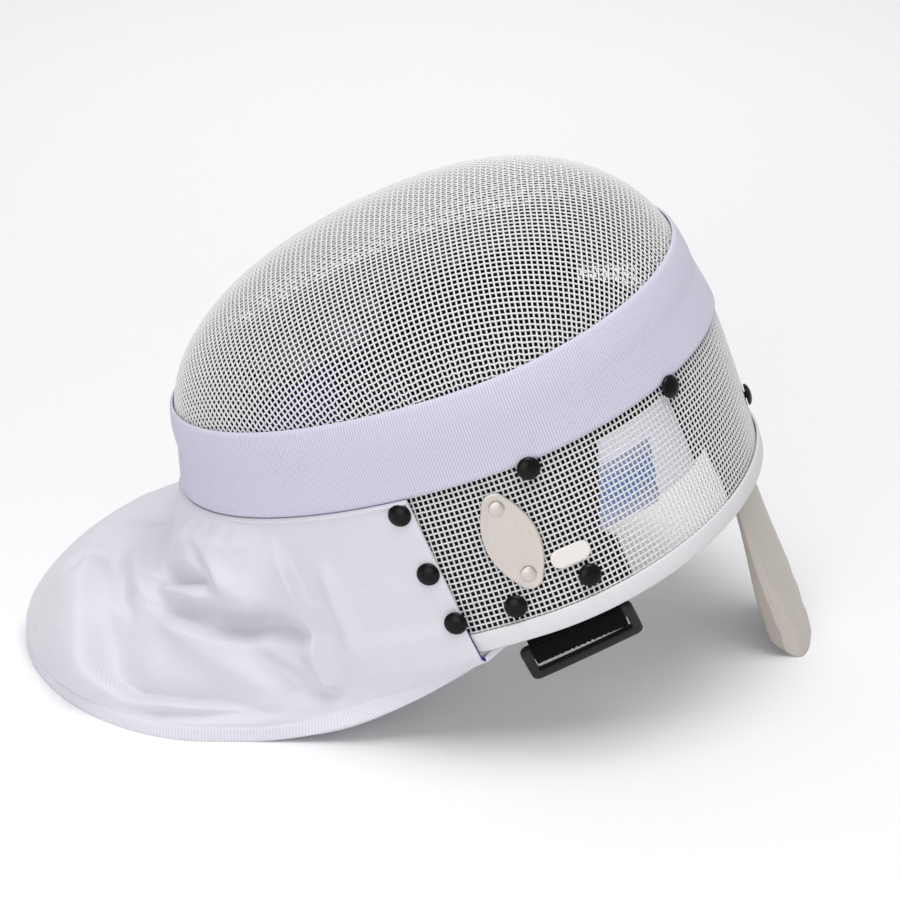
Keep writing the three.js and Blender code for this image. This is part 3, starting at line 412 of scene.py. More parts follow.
# Rubber cores under white nylon: dull, with a faint violet cast, and ribs 1.5 mm apart.
elastic, elastic_skin = new_material("white_ribbed_elastic_webbing", {
    "Roughness": 0.85, "Sheen Weight": 0.15})
rib = add_node(elastic, "ShaderNodeMath", {0: cloth_wave(elastic, "X", 1.5), 1: 0.5, 2: 0.5},
    operation="MULTIPLY_ADD").outputs[0]
knit = add_node(elastic, "ShaderNodeMath", {0: cloth_wave(elastic, "Y", 1.0), 1: 0.22, 2: rib},
    operation="MULTIPLY_ADD").outputs[0]
patterned(elastic, elastic_skin, rib, "#BFBCD2", "#D8D5E6", (0.5, 0.0003), knit)


def arc_mm(grid):
    """Flat sizes of a grid of points: how far each point lies along its row and its column."""
    along = np.cumsum(np.r_[0, np.linalg.norm(np.diff(grid[grid.shape[0] // 2], axis=0), axis=-1)])
    down = np.cumsum(np.r_[0, np.linalg.norm(np.diff(grid[:, grid.shape[1] // 2], axis=0), axis=-1)])
    return np.stack(np.meshgrid(along, down), -1)


def flip_if_inside_out(piece):
    mesh = piece.data
    co = np.empty(len(mesh.vertices) * 3)
    mesh.vertices.foreach_get("co", co)
    mesh.calc_loop_triangles()
    tris = np.empty(len(mesh.loop_triangles) * 3, np.int64)
    mesh.loop_triangles.foreach_get("vertices", tris)
    a, b, c = co.reshape(-1, 3)[tris.reshape(-1, 3)].transpose(1, 0, 2)
    if np.sum(a * np.cross(b, c)) < 0:
        mesh.flip_normals()
    return piece


def cloth_body(name, outer, inner, looks, loop=False):
    """A closed sheet between two grids of points, each [row, column]."""
    rows, cols = outer.shape[:2]
    size = rows * cols
    index = np.arange(size).reshape(rows, cols)
    across = np.arange(cols if loop else cols - 1)
    i, j = np.meshgrid(across, np.arange(rows - 1))
    n = (i + 1) % cols
    top = np.stack([index[j, i], index[j, n], index[j + 1, n], index[j + 1, i]], -1).reshape(-1, 4)
    onward = (across + 1) % cols
    edges = [(index[0, onward], index[0, across]), (index[-1, across], index[-1, onward])]
    edges += [] if loop else [(index[:-1, 0], index[1:, 0]), (index[1:, -1], index[:-1, -1])]
    sides = [np.stack([a, b, b + size, a + size], -1) for a, b in edges]
    uv = arc_mm(outer).reshape(-1, 2)
    points = np.concatenate([outer.reshape(-1, 3), inner.reshape(-1, 3)])
    faces = np.concatenate([top, top[:, ::-1] + size] + sides).tolist()
    return flip_if_inside_out(make_piece(name, points, faces, looks, uv_mm=np.concatenate([uv, uv])))


band_angles = np.linspace(0, 2 * math.pi, 480, endpoint=False)
band_heights = np.linspace(BAND_ABOVE, -BAND_BELOW, 40)


def band_face(out):
    rows = []
    for w in band_heights:
        edge = min(BAND_ABOVE - w, w + BAND_BELOW)
        lie = out * min(1, 0.35 + edge / 2.0) if out > 1 else out
        rho = (1 - (max(w, 0) / FACE_RISE) ** FACE_SHOULDER) ** (1 / FACE_FULLNESS)
        rows.append(face_point(band_angles, rho, lie) + (SHIFT, 0, 0) if w > 0
            else wall_point(band_angles, -w, lie))
    return np.array(rows)


band = cloth_body("ribbed_trim_band", band_face(GAP + BAND_THICK), band_face(GAP), [elastic],
    loop=True)
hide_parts("trim_band")


# The rim edging: a channel extruded in soft white PVC, pushed on over the cut ends of the wires
# from jaw to jaw and glued there. It is a little scuffed.
BINDING_LIP, BINDING_INNER_LIP, BINDING_THICK, BINDING_END = 8.5, 5, 1.5, math.radians(127)
edging, edging_skin, scuff, _ = grainy("white_soft_pvc_edging", 60.0, 5.0, "#D0D0D3", "#DDDDE0", {})
rough = add_node(edging, "ShaderNodeMapRange", {"Value": scuff, "To Min": 0.42, "To Max": 0.56})
join(edging, rough.outputs[0], edging_skin.inputs["Roughness"])


def loop_body(name, rings, looks, capped=True, closed=False):
    """A body through rings of points, all with the same count."""
    rings = np.asarray(rings)
    steps, count = rings.shape[:2]
    index = np.arange(steps * count).reshape(steps, count)
    k, i = np.meshgrid(np.arange(steps if closed else steps - 1), np.arange(count), indexing="ij")
    n, m = (i + 1) % count, (k + 1) % steps
    faces = np.stack([index[k, i], index[k, n], index[m, n], index[m, i]], -1).reshape(-1, 4).tolist()
    if capped and not closed:
        faces += [index[0][::-1].tolist(), index[-1].tolist()]
    along = np.cumsum(np.r_[0, np.linalg.norm(np.diff(rings.mean(1), axis=0), axis=-1)])
    around_mm = np.cumsum(np.r_[0, np.linalg.norm(np.diff(rings[0], axis=0), axis=-1)])
    uv = np.stack(np.meshgrid(around_mm, along), -1)[..., ::-1].reshape(-1, 2)
    return flip_if_inside_out(make_piece(name, rings.reshape(-1, 3), faces, looks, uv_mm=uv))


outer_lip, inner_lip = GAP + BINDING_THICK, -2 - GAP - BINDING_THICK
seat = SIDE_DEPTH + GAP
lip_profile = [
    (outer_lip - 0.5, SIDE_DEPTH - BINDING_LIP), (outer_lip, SIDE_DEPTH - BINDING_LIP + 0.8),
    (outer_lip, seat), (outer_lip - 0.2, seat + 0.9), (outer_lip - 0.9, seat + BINDING_THICK),
    (-1, seat + BINDING_THICK), (inner_lip + 0.9, seat + BINDING_THICK), (inner_lip + 0.2, seat + 0.9),
    (inner_lip, seat), (inner_lip, SIDE_DEPTH - BINDING_INNER_LIP + 0.6),
    (inner_lip + 0.5, SIDE_DEPTH - BINDING_INNER_LIP),
    (inner_lip + BINDING_THICK, SIDE_DEPTH - BINDING_INNER_LIP),
    (inner_lip + BINDING_THICK, seat), (GAP, seat), (GAP, SIDE_DEPTH - BINDING_LIP)]
rim_angles = np.linspace(-BINDING_END, BINDING_END, 300)
rim_rings = np.stack([wall_point(rim_angles, depth, out) for out, depth in lip_profile], 1)
rim_edging = loop_body("rim_edging", rim_rings, [edging])
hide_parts("rim_binding")


# The bib: two layers of white nylon, cut to a deep curve, sewn in under the band at the chin and
# riveted flat on the side wall. It falls in soft folds to the table and is lined in dark blue.
BIB_THICK, BIB_TOP_ANGLE, BIB_RIM_ANGLE, BIB_EASE, BIB_REACH = 2, 69.5, 74.7, 0.6, 91
HEM_POWER, HEM_END_ANGLE, HEM_END_TUCK, HEM_TAPE, HEM_THICK = 1.8, math.radians(97), 8.5, 9.5, 3
HEM_LIFT_POWER, HEM_GATHER, HEM_PAST_BIB = 2.0, 1.6, 0.045
SIDE_FROM, SIDE_FULL, FOLDS_END = 0.44, 0.585, 0.74
PUFF_RIGHT, PUFF_LEFT = np.array([-17.0, 11, 15]), np.array([4.0, -4, 5])
bib_foot = SIDE_DEPTH + BINDING_THICK + 2 * GAP


def smooth(x):
    x = np.clip(x, 0, 1)
    return x * x * (3 - 2 * x)


def mix(a, b, k):
    return a + (b - a) * k


hem_tip = wall_point(math.pi, BAND_BELOW)[0] - BIB_REACH
hem_turn = wall_point(math.radians(135), BAND_BELOW)[0] - BIB_REACH * 0.6
hem_half = wall_point(math.radians(90), 0)[1] - 2.5
hem_end = wall_point(HEM_END_ANGLE, bib_foot, -HEM_END_TUCK)
sweep_angles = np.linspace(0, math.pi / 2, 61)
hem_front = np.stack([mix(hem_turn, hem_tip, np.maximum(np.cos(sweep_angles), 0) ** (2 / HEM_POWER)),
    hem_half * np.sin(sweep_angles) ** (2 / HEM_POWER), 0 * sweep_angles], -1)
along = np.arange(1, 41) / 40
hem_x = mix(hem_turn, hem_end[0], along)
lift_from = mix(hem_turn, hem_end[0], 0.1)
lift = np.clip((hem_x - lift_from) / (hem_end[0] - lift_from), 0, 1) ** HEM_LIFT_POWER
hem_side = np.stack([hem_x, mix(hem_half, hem_end[1], smooth(along)), hem_end[2] * lift], -1)
hem_line = np.vstack([hem_front, hem_side])
hem_lengths = np.r_[0, np.cumsum(np.linalg.norm(np.diff(hem_line, axis=0), axis=-1))]


def hem_at(share):
    length = np.clip(share, 0, 1) * hem_lengths[-1]
    return np.stack([np.interp(length, hem_lengths, hem_line[:, k]) for k in range(3)], -1)


def bib_hem_share(a):
    return (1 - (1 - a) ** HEM_GATHER) * (1 - HEM_PAST_BIB)


def bib_on_side(a, t):
    def along_wall(k):
        depth = mix(BAND_BELOW + GAP, bib_foot, k)
        lie = BIB_EASE + BIB_THICK + (BINDING_THICK + GAP) * smooth((depth - 0.8 * SIDE_DEPTH) / 10)
        return wall_point(math.pi - np.radians(mix(BIB_TOP_ANGLE, BIB_RIM_ANGLE, k) * a), depth, lie)
    rim = along_wall(np.ones_like(t))
    hem = hem_at(bib_hem_share(a))
    knee = rim + DOWN * 0.5 * np.linalg.norm(rim - hem, axis=-1, keepdims=True)
    k = np.clip(t * 2 - 1, 0, 1)[..., None]
    lower = (1 - k) ** 2 * rim + 2 * k * (1 - k) * knee + k * k * hem
    return np.where((t <= 0.5)[..., None], along_wall(np.clip(t * 2, 0, 1)), lower)


def bib_at_chin(a, t, puff):
    top = wall_point(math.pi - np.radians(BIB_TOP_ANGLE * a), BAND_BELOW + GAP, BIB_EASE + BIB_THICK)
    hem = hem_at(bib_hem_share(a))
    middle = np.array([mix(hem_tip - SHIFT, 0, 0.57) + SHIFT, 0, 0])

    def stand(share, k):
        p = mix(top, hem, share)
        return p + unit(p - middle) * puff[..., k:k + 1]
    keys = [top, stand(0.28, 0), stand(0.55, 1), stand(0.8, 2), hem]
    keys = np.stack([2 * keys[0] - keys[1]] + keys + [2 * keys[-1] - keys[-2]], -2)
    at = np.clip(t, 0, 1) * 4
    i = np.minimum(at.astype(int), 3)
    x = (at - i)[..., None]
    p0, p1, p2, p3 = (np.take_along_axis(keys, (i + n)[..., None, None], -2)[..., 0, :] for n in range(4))
    start, end = 0.5 * (p2 - p0), 0.5 * (p3 - p1)
    return (p1 + start * x + (3 * (p2 - p1) - 2 * start - end) * x ** 2
        + (2 * (p1 - p2) + start + end) * x ** 3)


def bib_plain(s, t):
    a = np.abs(s)
    side = smooth((a - SIDE_FROM) / (SIDE_FULL - SIDE_FROM))[..., None]
    puff = mix(PUFF_RIGHT, PUFF_LEFT, smooth(s / 0.35)[..., None])
    p = mix(bib_at_chin(a, t, puff), bib_on_side(a, t), side)
    p[..., 1] *= -np.sign(s)
    return p


def bib_out(s, t):
    across = bib_plain(np.minimum(s + 0.01, 1), t) - bib_plain(np.maximum(s - 0.01, -1), t)
    down = bib_plain(s, np.minimum(t + 0.01, 1)) - bib_plain(s, np.maximum(t - 0.01, 0))
    return unit(np.cross(down, across))


# Each fold: how high it stands in mm, how wide its upper and lower slopes are as shares of the
# bib's height, and the line it runs along, from the chin (0) to the rear edge (1) and band to hem.
FOLD_STRETCH = 2.4  # the bib is this much longer from chin to rear edge than from band to hem
FOLDS = [
    (9, 0.034, 0.15, [(0.5, 0.03), (0.54, 0.16), (0.555, 0.3), (0.565, 0.42), (0.57, 0.58), (0.57, 0.72)]),
    (4, 0.06, 0.07, [(0.655, 0.12), (0.66, 0.26), (0.665, 0.36), (0.665, 0.48)]),
    (-11, 0.08, 0.022, [(0.17, 0.4), (0.277, 0.42), (0.328, 0.44), (0.382, 0.463), (0.435, 0.473),
        (0.5, 0.43), (0.6, 0.32)]),
    (4, 0.03, 0.06, [(0.25, 0.45), (0.328, 0.475), (0.382, 0.5), (0.435, 0.51), (0.5, 0.475)]),
    (5, 0.05, 0.06, [(0.29, 0.17), (0.362, 0.253), (0.42, 0.312), (0.48, 0.37)]),
    (-4.5, 0.03, 0.03, [(0.25, 0.12), (0.338, 0.24), (0.37, 0.35)]),
    (-9, 0.055, 0.022, [(0.15, 0.3), (0.21, 0.29), (0.262, 0.285), (0.32, 0.278), (0.355, 0.34)]),
    (4.5, 0.025, 0.035, [(0.2, 0.34), (0.28, 0.325), (0.345, 0.34)]),
    (5, 0.04, 0.06, [(0.13, 0.1), (0.277, 0.1), (0.392, 0.09), (0.5, 0.06)]),
    (5, 0.03, 0.035, [(-0.02, 0.31), (0.06, 0.335), (0.125, 0.343), (0.198, 0.39), (0.26, 0.44)]),
    (-4.5, 0.03, 0.03, [(-0.05, 0.39), (0.095, 0.388), (0.177, 0.468), (0.21, 0.52)]),
    (10, 0.035, 0.13, [(-0.03, 0.42), (0.055, 0.47), (0.113, 0.535), (0.162, 0.645), (0.195, 0.755),
        (0.24, 0.84)]),
    (-13, 0.13, 0.028, [(0.14, 0.47), (0.205, 0.7), (0.255, 0.775), (0.295, 0.746), (0.358, 0.748),
        (0.46, 0.81)]),
    (6, 0.09, 0.05, [(0.23, 0.43), (0.338, 0.545), (0.412, 0.635), (0.49, 0.73)]),
    (-5, 0.03, 0.045, [(0.43, 0.54), (0.49, 0.62), (0.515, 0.75)]),
    (-4, 0.04, 0.03, [(0.23, 0.91), (0.333, 0.85), (0.412, 0.835), (0.49, 0.82)]),
    (-4, 0.03, 0.03, [(0.0, 0.41), (0.027, 0.468), (0.065, 0.52)]),
    (-9, 0.06, 0.09, [(-0.5, 0.42), (-0.36, 0.52), (-0.2, 0.62)]),
    (5, 0.08, 0.08, [(-0.52, 0.58), (-0.4, 0.66), (-0.28, 0.74)]),
    (-6, 0.06, 0.06, [(-0.3, 0.2), (-0.2, 0.3), (-0.08, 0.36)]),
]


def fold_height(s, t, height, above, below, line):
    line = np.array(line) * (FOLD_STRETCH, 1.0)
    here = np.stack([s * FOLD_STRETCH, t], -1)
    runs = np.linalg.norm(np.diff(line, axis=0), axis=-1)
    starts = np.r_[0, np.cumsum(runs)] / runs.sum()
    nearest, share, sign = np.full(s.shape, 9.0), np.zeros(s.shape), np.ones(s.shape)
    for k, run in enumerate(np.diff(line, axis=0)):
        offset = here - line[k]
        u = np.clip(offset @ run / (run @ run), 0, 1)
        away = np.linalg.norm(offset - u[..., None] * run, axis=-1)
        closer = away < nearest
        nearest = np.where(closer, away, nearest)
        share = np.where(closer, mix(starts[k], starts[k + 1], u), share)
        sign = np.where(closer, run[0] * offset[..., 1] - run[1] * offset[..., 0], sign)
    width = np.where(sign < 0, above, below)
    return height * smooth(4.5 * share * (1 - share)) * np.exp(-((nearest / width) ** 2))


# Fine creases at random over the front of the cloth.
CREASE_COUNT, CREASES = 70, []
dice = np.random.default_rng(7)
for _ in range(CREASE_COUNT):
    s0, t0 = dice.uniform(-0.5, 0.55), dice.uniform(0.12, 0.9)
    lean, long = dice.uniform(-0.9, 0.9), dice.uniform(0.05, 0.16)
    end = (s0 + long * math.cos(lean) / 2, t0 + long * math.sin(lean))
    CREASES.append((dice.uniform(-0.7, 0.7), dice.uniform(0.012, 0.035), dice.uniform(0.012, 0.035),
        [(s0, t0), ((s0 + end[0]) / 2, (t0 + end[1]) / 2 + dice.uniform(-0.015, 0.015)), end]))


def bib_point(s, t, inwards=0.0):
    free = smooth(6 * t) * smooth(6 * (1 - t)) * smooth((FOLDS_END - np.abs(s)) / 0.1)
    rise = sum(fold_height(s, t, *fold) for fold in FOLDS + CREASES) * free
    gathers = 0.5 * np.sin(s * 95) * np.exp(-((t - 0.07) / 0.06) ** 2) * smooth(18 * t)
    rise = rise + gathers * smooth((0.5 - np.abs(s)) / 0.1)
    p = bib_plain(s, t) + bib_out(s, t) * (rise - inwards)[..., None]
    p[..., 2] = np.maximum(p[..., 2], 0)
    return p


def cloth_height(s):
    return np.linalg.norm(bib_plain(s, 0.5 + 0 * s) - bib_plain(s, 1 + 0 * s), axis=-1) * 2


def hem_from(s):
    return 1 - HEM_TAPE / np.maximum(cloth_height(s), 4 * HEM_TAPE)


# Plain weave of fine yarn, drawn at 1.2 mm so that it shows: matt, nearly white, violet in its folds.
nylon, nylon_skin, _, cloth_tone = grainy("white_woven_nylon", 14.0, 4.0, "#D8D7E0", "#E2E2E8", {
    "Roughness": 0.8, "Sheen Weight": 0.2, "Sheen Roughness": 0.5})
weave = add_node(nylon, "ShaderNodeMath", {0: cloth_wave(nylon, "X", 1.2), 1: cloth_wave(nylon, "Y", 1.2)},
    operation="MULTIPLY")
weave_high = add_node(nylon, "ShaderNodeMath", {0: weave.outputs[0], 1: 0.5, 2: 0.5},
    operation="MULTIPLY_ADD")
patterned(nylon, nylon_skin, weave_high.outputs[0], "#CECDD6", cloth_tone, (0.35, 0.00015))
# Thin plain taffeta in dark blue, a little uneven in its dye.
lining_blue = grainy("dark_blue_lining_taffeta", 90.0, 3.0, "#231968", "#30258A", {"Roughness": 0.7})[0]

LINING_THICK, LINING_FROM_ROW, BLUE_EDGE_FROM = 0.8, 10, 0.5
bib_s = np.linspace(-1, 1, 301)
bib_t = np.linspace(0, 1, 105)
shares = bib_t[:, None] * (hem_from(bib_s) + 1.5 / cloth_height(bib_s))[None]
grid_s = np.broadcast_to(bib_s, shares.shape)


def sewn_edge(depth, out):
    edge = wall_point(math.pi - np.radians(BIB_TOP_ANGLE * np.abs(bib_s)), BAND_BELOW + depth, out)
    edge[:, 1] *= -np.sign(bib_s)
    return edge[None]


bib_face = np.concatenate([sewn_edge(0.05, 0.75), bib_point(grid_s, shares)])
bib_back = np.concatenate([sewn_edge(0.75, 0.35), bib_point(grid_s, shares, BIB_THICK)])
bib = cloth_body("nylon_bib", bib_face, bib_back, [nylon, lining_blue])
bib_cells = (bib_face.shape[0] - 1) * (bib_face.shape[1] - 1)
blue_faces = np.zeros(len(bib.data.polygons), np.int32)
blue_faces[bib_cells:2 * bib_cells] = 1
# Below the rim the blue lining is turned round the bib's rear edges.
blue_faces[2 * bib_cells + 2 * (bib_face.shape[1] - 1):] = np.tile(np.r_[0, bib_t[:-1]] > BLUE_EDGE_FROM, 2)
bib.data.polygons.foreach_set("material_index", blue_faces)
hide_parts("bib")

chin_only = np.abs(bib_s[::2]) < SIDE_FROM + 0.02
lining_s, lining_t = (grid[LINING_FROM_ROW:, ::2] for grid in (grid_s, shares))
lining_top = bib_point(lining_s, lining_t, BIB_THICK + GAP)[:, chin_only]
lining_low = bib_point(lining_s, lining_t, BIB_THICK + GAP + LINING_THICK)[:, chin_only]
lining = cloth_body("blue_lining", lining_top, lining_low, [lining_blue])
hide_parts("bib_lining")


# The hem tape: ribbed cotton tape folded over the bib's edge and sewn, with its ends tucked in
# past the rim on each side. A round welt of the bib's own nylon is sewn in under the band.
# Its ribs are 1.7 mm apart. It is matt, and a shade duller than the nylon.
tape_cloth, tape_skin = new_material("white_ribbed_cotton_tape", {"Roughness": 0.85})
tape_rib = add_node(tape_cloth, "ShaderNodeMath", {0: cloth_wave(tape_cloth, "X", 1.7), 1: 0.5, 2: 0.5},
    operation="MULTIPLY_ADD")
patterned(tape_cloth, tape_skin, tape_rib.outputs[0], "#D2D1DC", "#E0E0E7", (0.35, 0.0002))

PAST = 4 / 36
tape_x = np.linspace(-1 - PAST, 1 + PAST, 361)
tape_s = np.clip(tape_x, -1, 1)
over = np.maximum(np.abs(tape_x) - 1, 0) / PAST
puffed = (HEM_THICK - BIB_THICK) / 2
tape_profile = [(0.0, -puffed + 0.45), (0.04, -puffed)] + [(e, -puffed) for e in (0.25, 0.5, 0.75)] + [
    (0.93, -puffed + 0.1), (1.0, -puffed + 0.5), (1.0, BIB_THICK / 2), (1.0, BIB_THICK + puffed - 0.5),
    (0.93, BIB_THICK + puffed - 0.1)] + [(e, BIB_THICK + puffed) for e in (0.75, 0.4, 0.04)] + [
    (0.0, BIB_THICK + puffed - 0.45)]
tape_rings = []
run = hem_at(1 - HEM_PAST_BIB * (1 - over)) - hem_at(np.array(1 - HEM_PAST_BIB))
for e, inwards in tape_profile:
    lower = mix(hem_from(tape_s), 1, e)
    p = bib_point(tape_s, lower, inwards)
    p[:, 0] += run[:, 0]
    p[:, 1] += -np.sign(tape_s) * run[:, 1] + np.sign(tape_s) * 2 * over * HEM_THICK * (1 - e)
    p[:, 2] += run[:, 2]
    tape_rings.append(p)
hem_tape = loop_body("hem_tape", np.stack(tape_rings, 1), [tape_cloth])
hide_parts("bib_hem")

WELT_BELOW, WELT_RADIUS = 1.3, 0.95
welt_angles = math.pi + np.radians(np.linspace(-BIB_TOP_ANGLE, BIB_TOP_ANGLE, 240))
welt_path = wall_point(welt_angles, BAND_BELOW + WELT_BELOW, BIB_EASE + BIB_THICK + 0.2)
welt_turns = np.linspace(0, 2 * math.pi, 10, endpoint=False)[:, None]
welt_up = in_world(0, 0, 1) - in_world(0, 0, 0)
welt_out = wall_normal(welt_angles, BAND_BELOW + WELT_BELOW)[:, None]
welt_rings = welt_path[:, None] + WELT_RADIUS * (welt_out * np.cos(welt_turns) + welt_up * np.sin(welt_turns))
welt = loop_body("bib_welt", welt_rings, [nylon])


# The padding: a foam strip in white brushed cloth, glued inside the side wall at the temples and
# bridging behind the crown, with a blue panel sewn on at each temple.
PAD_THICK, PAD_PANEL_THICK, PAD_BRIDGE = 8, 1, 17
PAD_TALL, PAD_HALF_LONG, PAD_ROUND, QUILT_DEEP, QUILT_AT = 58, 150, 6, 0.7, 0.55
# The white brushed cloth has a painted glow: an emission that stands in for the light that reaches it through
# the mesh.
brushed_with_painted_glow = grainy("white_brushed_polyester_painted_glow", 1400.0, 3.0, "#DDDDE6", "#F3F3F6", {
    "Roughness": 0.9, "Sheen Weight": 0.3, "Emission Color": linear("#E9EBFF"), "Emission Strength": 0.42},
    (0.3, 0.0004))[0]
# Short black pile that shows no highlight, on the pad's head side. The same black is used as painted shade on
# the pad's mesh side and on the sheets behind the mesh.
velour_and_painted_shade = grainy("black_velour_and_painted_shade", 1200.0, 2.0, "#08080B", "#16161B", {"Roughness": 0.95})[0]
# Fine blue knit, painted paler towards its upper and lower ends as painted light from the mesh's openings,
# and given a painted glow.
blue_cloth, blue_skin, _, knit_tone = grainy("blue_knit_panel_painted_glow", 1100.0, 2.0, "#5F86CC", "#7FA0DA", {
    "Roughness": 0.85, "Emission Strength": 0.25})
painted_light_at_ends = patterned(blue_cloth, blue_skin, cloth_wave(blue_cloth, "Y", 62), "#B9BAE0", knit_tone)
join(blue_cloth, painted_light_at_ends, blue_skin.inputs["Emission Color"])


def pad_point(k, down, inwards):
    a = np.abs(k)
    angle = k * np.radians(mix(62.5, 71.5, down))
    depth = SIDE_DEPTH * mix(mix(0.32, 0.255, a), mix(0.85, 0.68, a), down)
    inset = PAD_BRIDGE * smooth(1.15 * (1 - a))
    return wall_point(angle, depth, -2 - 3 * GAP - PAD_PANEL_THICK - inset - inwards)


pad_k, pad_down = np.meshgrid(np.linspace(-1, 1, 161), np.linspace(0, 1, 33))
from_edge = np.minimum(np.minimum(pad_down, 1 - pad_down) * PAD_TALL, (1 - np.abs(pad_k)) * PAD_HALF_LONG)
roundness = np.sqrt(np.clip(1 - (1 - np.clip(from_edge / PAD_ROUND, 0, 1)) ** 2, 0, 1))
quilt = QUILT_DEEP * np.exp(-((np.abs(pad_k) - QUILT_AT) / 0.012) ** 2)
pad_near = pad_point(pad_k, pad_down, PAD_THICK * 0.5 * (1 - roundness) + 0.05)
pad_far = pad_point(pad_k, pad_down, PAD_THICK * (0.5 + 0.5 * roundness) - quilt - 0.05)
head_pad = cloth_body("temple_and_crown_pad", pad_near, pad_far, [brushed_with_painted_glow, velour_and_painted_shade])
pad_cells = (pad_near.shape[0] - 1) * (pad_near.shape[1] - 1)
cell_k = np.abs((pad_k[:-1, :-1] + pad_k[1:, 1:]) / 2)
cell_down = (pad_down[:-1, :-1] + pad_down[1:, 1:]) / 2
# Painted shade: the pad's mesh side takes the black where it bridges away from the mesh, at its ends and
# along its top, where it lies in shade.
dark = (cell_k < mix(0.57, 0.47, cell_down)) | (cell_k > 0.985) | (cell_down < 0.1)
pad_looks = np.ones(len(head_pad.data.polygons), np.int32)
pad_looks[:pad_cells] = dark.ravel()
head_pad.data.polygons.foreach_set("material_index", pad_looks)
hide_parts("head_pad")
for side, word in ((-1, "left"), (1, "right")):
    panel_k, panel_down = np.meshgrid(side * (1 - np.linspace(0.005, 0.25, 18)), np.linspace(0.33, 0.97, 20))
    panel_face = pad_point(panel_k, panel_down, -GAP - PAD_PANEL_THICK)
    panel_back = pad_point(panel_k, panel_down, -GAP)
    panel = cloth_body(f"blue_panel_{word}", panel_face, panel_back, [blue_cloth])
    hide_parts(f"pad_panel_{word}")

# Painted shade: thin black sheets behind the side mesh, between the bib and the pad at each cheek and again
# beside the tongue. They stand in for the shade inside the mask, so that the openings of the mesh look black.
SHADE_SHEET_TOP, SHADE_SHEET_FOOT, SHADE_SHEET_NEAR, SHADE_SHEET_FAR = 0.03, 0.945, 2.2, 2.5
for side, word in ((-1, "left"), (1, "right")):
    for part in ("cheek", "crown"):
        k, down = np.meshgrid(np.linspace(0, 1, 40), np.linspace(0, 1, 30))
        share = mix(SHADE_SHEET_TOP, SHADE_SHEET_FOOT, down)
        ahead = 118.0 if part == "cheek" else mix(38, 34, down)
        behind = np.interp(share, (0.25, 0.66, 0.72), (62.3, 71.4, 68.0)) if part == "cheek" else 15.5
        angle = side * np.radians(mix(ahead, behind, k))
        near_shade_sheet = wall_point(angle, SIDE_DEPTH * share, -SHADE_SHEET_NEAR)
        far_shade_sheet = wall_point(angle, SIDE_DEPTH * share, -SHADE_SHEET_FAR)
        # A black sheet of painted shade behind the mesh.
        painted_shade_sheet = cloth_body(f"{part}_painted_shade_sheet_{word}", near_shade_sheet, far_shade_sheet, [velour_and_painted_shade])


# The tongue: a spring-steel strip in a sleeve of off-white vinyl, riveted inside the crown. It
# presses on the back of the head; here it props the mask up and its sleeve wrinkles at the foot.
TONGUE_WIDTH, TONGUE_BOW, TONGUE_TOP, TONGUE_HANGS_IN = 60, 4, 64, 9
TONGUE_FOOT_RISE, CROWN_RIVET_DEPTH, WASHER = 12, 82, 4.5
TONGUE = np.array([
    # share of the way from the top of the tongue to the floor, thickness, twist of the far edge
    [0.0, 4.5, 0], [0.14, 4.5, 0], [0.3, 5, 3], [0.45, 5.5, 4],
    [0.6, 7.5, 4.5], [0.75, 11, 4], [0.9, 13.5, 2.5], [1.0, 13.5, 2.5],
])
tongue_face = CROWN_REACH * eased(WALL_SECTIONS[:, 0], WALL_SECTIONS[:, 2], np.array(0.9)) - 2 - GAP
# Calendered vinyl: a fine leather-like grain, a little yellowed, with soft highlights on its wrinkles.
vinyl, vinyl_skin, _, _ = grainy("off_white_soft_vinyl", 30.0, 5.0, "#B8B1A8", "#CBC5BD", {"Roughness": 0.5})
hide = add_node(vinyl, "ShaderNodeTexVoronoi", {"Scale": 520.0}, feature="DISTANCE_TO_EDGE")
hide_bump = add_node(vinyl, "ShaderNodeBump", {"Strength": 0.25, "Distance": 0.0002,
    "Height": hide.outputs["Distance"]})
join(vinyl, hide_bump.outputs[0], vinyl_skin.inputs["Normal"])
# The inner half of the sleeve is painted a matt grey-brown, darker than the vinyl: painted shade on the side
# that faces away from the light.
tongue_painted_shade = grainy("grey_brown_painted_shade", 260.0, 4.0, "#A09991", "#B5AEA6", {"Roughness": 0.9})[0]

